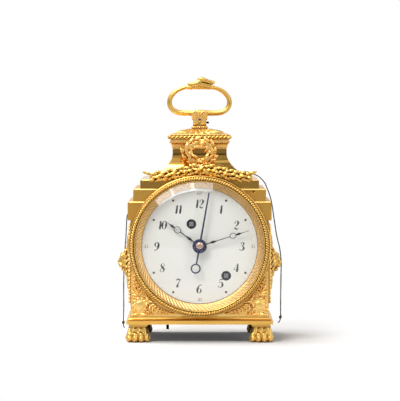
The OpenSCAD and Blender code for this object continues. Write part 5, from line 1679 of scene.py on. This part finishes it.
# The stage


AIM = (0, 0, 0.1)
LAMPS = (  # name, width and height, watts, place, what it faces, and its roll in degrees
    ("key_soft_box", (0.8, 0.8), 22.0, (-0.75, -1.15, 1.45), AIM, 0),
    ("fill_soft_box", (0.4, 1.2), 5.0, (1.35, -1.0, 0.75), AIM, 0),
    # over the clock, and facing straight down
    ("top_left_soft_box", (0.9, 0.75), 14.0, (-0.46, 0.22, 1.3), (-0.46, 0.22, 0.1), 0),
    ("top_soft_box", (1.0, 0.30), 4.5, (-0.51, -0.21, 1.35), (-0.51, -0.21, 0.1), 0),
    # thin strips beside the camera, which show as streaks in the domed glass
    ("glass_strip_1", (0.22, 0.08), 0.2, (0.02, -1.9, 0.55), AIM, 0),
    ("glass_strip_2", (0.24, 0.09), 0.34, (-0.17, -1.9, 0.535), AIM, 14),
    ("glass_strip_3", (0.20, 0.09), 0.28, (-0.35, -1.9, 0.455), AIM, 31),
    ("glass_strip_4", (0.34, 0.028), 0.16, (0.53, -1.9, 0.32), AIM, -52),
)
FLOOR_R = 1.15


class CLOCK_OT_stage(Operator):
    """Lays the pale floor and hangs the soft studio lamps"""

    bl_idname = "clock.stage"
    bl_label = "Stage"

    def execute(self, context):
        self.floor(context)
        self.world(context)
        for name, (wide, tall), watts, spot, aim, roll in LAMPS:
            lamp = bpy.data.lights.new(name, "AREA")
            lamp.shape, lamp.size, lamp.size_y, lamp.energy = "RECTANGLE", wide, tall, watts
            obj = bpy.data.objects.new(name, lamp)
            obj.location = spot
            aimed = (Vector(aim) - Vector(spot)).to_track_quat("-Z", "Y").to_matrix()
            obj.rotation_euler = (aimed @ Matrix.Rotation(math.radians(roll), 3, "Z")).to_euler()
            context.scene.collection.objects.link(obj)
        context.scene.view_settings.view_transform = "Standard"
        return {"FINISHED"}

    def floor(self, context):
        """A smooth pale table top that keeps the clock's shadow"""
        mesh = bpy.data.meshes.new("floor")
        rim = ellipse(FLOOR_R, FLOOR_R, 0, 96)
        mesh.from_pydata(rim, [], [tuple(range(len(rim)))])
        # matt paper: paler to the camera, and in gloss and glass, than to the light it scatters
        material, tree, place = new_material("matt_paper_white")
        ray = add_node(tree, "LightPath", out=None)
        seen = add_node(tree, "Math", (ray["Is Camera Ray"], ray["Is Glossy Ray"]),
                        operation="MAXIMUM")
        seen = add_node(tree, "Math", (seen, ray["Is Transmission Ray"]), operation="MAXIMUM")
        paper = add_node(tree, "Mix", {0: seen, 6: linear("bcbcbc"), 7: linear("e4e4e4")}, 2,
                         data_type="RGBA")
        sheet = add_node(tree, "BsdfDiffuse", {"Color": paper})
        # painted light: to the camera, and in gloss and glass, the paper glows white away from the clock, so that its
        # shadow fades out between 0.10 and 0.27 m, and under and beside the clock it glows a twentieth as much, which
        # lifts the shadow there
        away = add_node(tree, "VectorMath", (place,), "Value", operation="LENGTH")
        away = add_node(tree, "MapRange", (away, 0.10, 0.27, 0.05, 1.0))
        rise = add_node(tree, "Math", (away, seen), operation="MULTIPLY")
        white = add_node(tree, "Emission", {"Strength": 1.0})
        add_node(tree, "OutputMaterial", (add_node(tree, "MixShader", (rise, sheet, white)),))
        mesh.materials.append(material)
        obj = bpy.data.objects.new("floor", mesh)
        context.scene.collection.objects.link(obj)
        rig.stage(obj)

    def world(self, context):
        """White to the camera. To the clock it is a pale room that darkens in front"""
        world = bpy.data.worlds.new("studio")
        world.use_nodes = True
        tree = world.node_tree
        tree.nodes.clear()
        way = add_node(tree, "TexCoord", out="Generated")
        x, y, z = add_node(tree, "SeparateXYZ", (way,), None)
        height = add_node(tree, "MapRange", (z, -1.0, 1.0, 0.0, 1.0))
        # dim at the level of the clock's sides, dark over the camera
        walls = add_node(tree, "ValToRGB", (height,), stops=(
            (0.44, (0.5, 0.49, 0.47, 1)), (0.60, (0.62, 0.61, 0.6, 1)), (0.8, (1, 1, 1, 1))))
        dark = add_node(tree, "ValToRGB", (height,), stops=(
            (0.42, (0.42, 0.40, 0.37, 1)), (0.49, (0.32, 0.31, 0.27, 1)),
            (0.53, (0.10, 0.095, 0.08, 1)), (0.64, (0.14, 0.135, 0.12, 1)),
            (0.82, (0.9, 0.9, 0.9, 1))))
        walls = laid_over(tree, (y, 0.1, 0.5, 0.0, 1.0), walls, (1, 1, 1, 1))
        # a narrow dark gap in the ceiling, which the right side of the neck mirrors
        gap = add_node(tree, "MapRange", (x, 0.002, 0.007, 0.0, 1.0))
        for edge in ((x, 0.05, 0.09, 1.0, 0.0), (z, 0.2, 0.4, 0.0, 1.0)):
            gap = add_node(tree, "Math", (gap, add_node(tree, "MapRange", edge)),
                           operation="MULTIPLY")
        walls = add_node(tree, "Mix", {0: gap, 6: walls, 7: (0.17, 0.16, 0.13, 1)}, 2,
                         data_type="RGBA")
        room = laid_over(tree, (y, -0.97, -0.72, 1.0, 0.0), walls, dark)
        ray = add_node(tree, "LightPath", out=None)
        shown = add_node(tree, "Math", (ray["Is Camera Ray"], ray["Is Transmission Ray"]),
                         operation="MAXIMUM")
        strength = add_node(tree, "MapRange", (
            ray["Is Glossy Ray"], 0.0, 1.0, context.scene.clock_stage.ambient, 1.0))
        lit = add_node(tree, "Background", (room, strength))
        white = add_node(tree, "Background", ((1, 1, 1, 1), 1.0))
        add_node(tree, "OutputWorld", (add_node(tree, "MixShader", (shown, lit, white)),))
        context.scene.world = world


class CLOCK_PT_panel(Panel):
    """Lists the clock's pieces, sizes and colours"""

    bl_idname = "CLOCK_PT_panel"
    bl_label = "Officer's clock"
    bl_space_type = "VIEW_3D"
    bl_region_type = "UI"
    bl_category = "Clock"

    def draw(self, context):
        column = self.layout.column(align=True)
        for operator in OPERATORS:
            column.operator(operator.bl_idname)
        for group in GROUPS:
            values = getattr(context.scene, group)
            box = self.layout.box()
            for name in values.__annotations__:
                box.prop(values, name)


OPERATORS = (
    CLOCK_OT_camera, CLOCK_OT_cords, CLOCK_OT_case, CLOCK_OT_feet, CLOCK_OT_rope, CLOCK_OT_dome,
    CLOCK_OT_handle, CLOCK_OT_wreath, CLOCK_OT_garland, CLOCK_OT_spandrels, CLOCK_OT_sides,
    CLOCK_OT_door, CLOCK_OT_dial, CLOCK_OT_hands, CLOCK_OT_back_door, CLOCK_OT_movement,
    CLOCK_OT_stage,
)
GROUPS = {"clock_sizes": ClockSizes, "clock_colours": ClockColours, "clock_stage": ClockStage}
CLASSES = (*GROUPS.values(), *OPERATORS, CLOCK_PT_panel)


def register():
    for cls in CLASSES:
        bpy.utils.register_class(cls)
    for name, group in GROUPS.items():
        setattr(bpy.types.Scene, name, PointerProperty(type=group))


def unregister():
    for name in GROUPS:
        delattr(bpy.types.Scene, name)
    for cls in reversed(CLASSES):
        bpy.utils.unregister_class(cls)


def main():
    register()
    bpy.ops.clock.camera()
    bpy.ops.clock.cords()
    bpy.ops.clock.case()
    bpy.ops.clock.feet()
    bpy.ops.clock.rope()
    bpy.ops.clock.dome()
    bpy.ops.clock.handle()
    bpy.ops.clock.wreath()
    bpy.ops.clock.garland()
    bpy.ops.clock.spandrels()
    bpy.ops.clock.sides()
    bpy.ops.clock.door()
    bpy.ops.clock.dial()
    bpy.ops.clock.hands()
    bpy.ops.clock.back_door()
    bpy.ops.clock.movement()
    bpy.ops.clock.stage()
    shown = [list(corner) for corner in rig.bounds()]
    with open(SIZE_FILE, "w") as out:
        json.dump({"frame": FRAME_BOX, "visual": shown}, out)


if __name__ == "__main__":
    main()
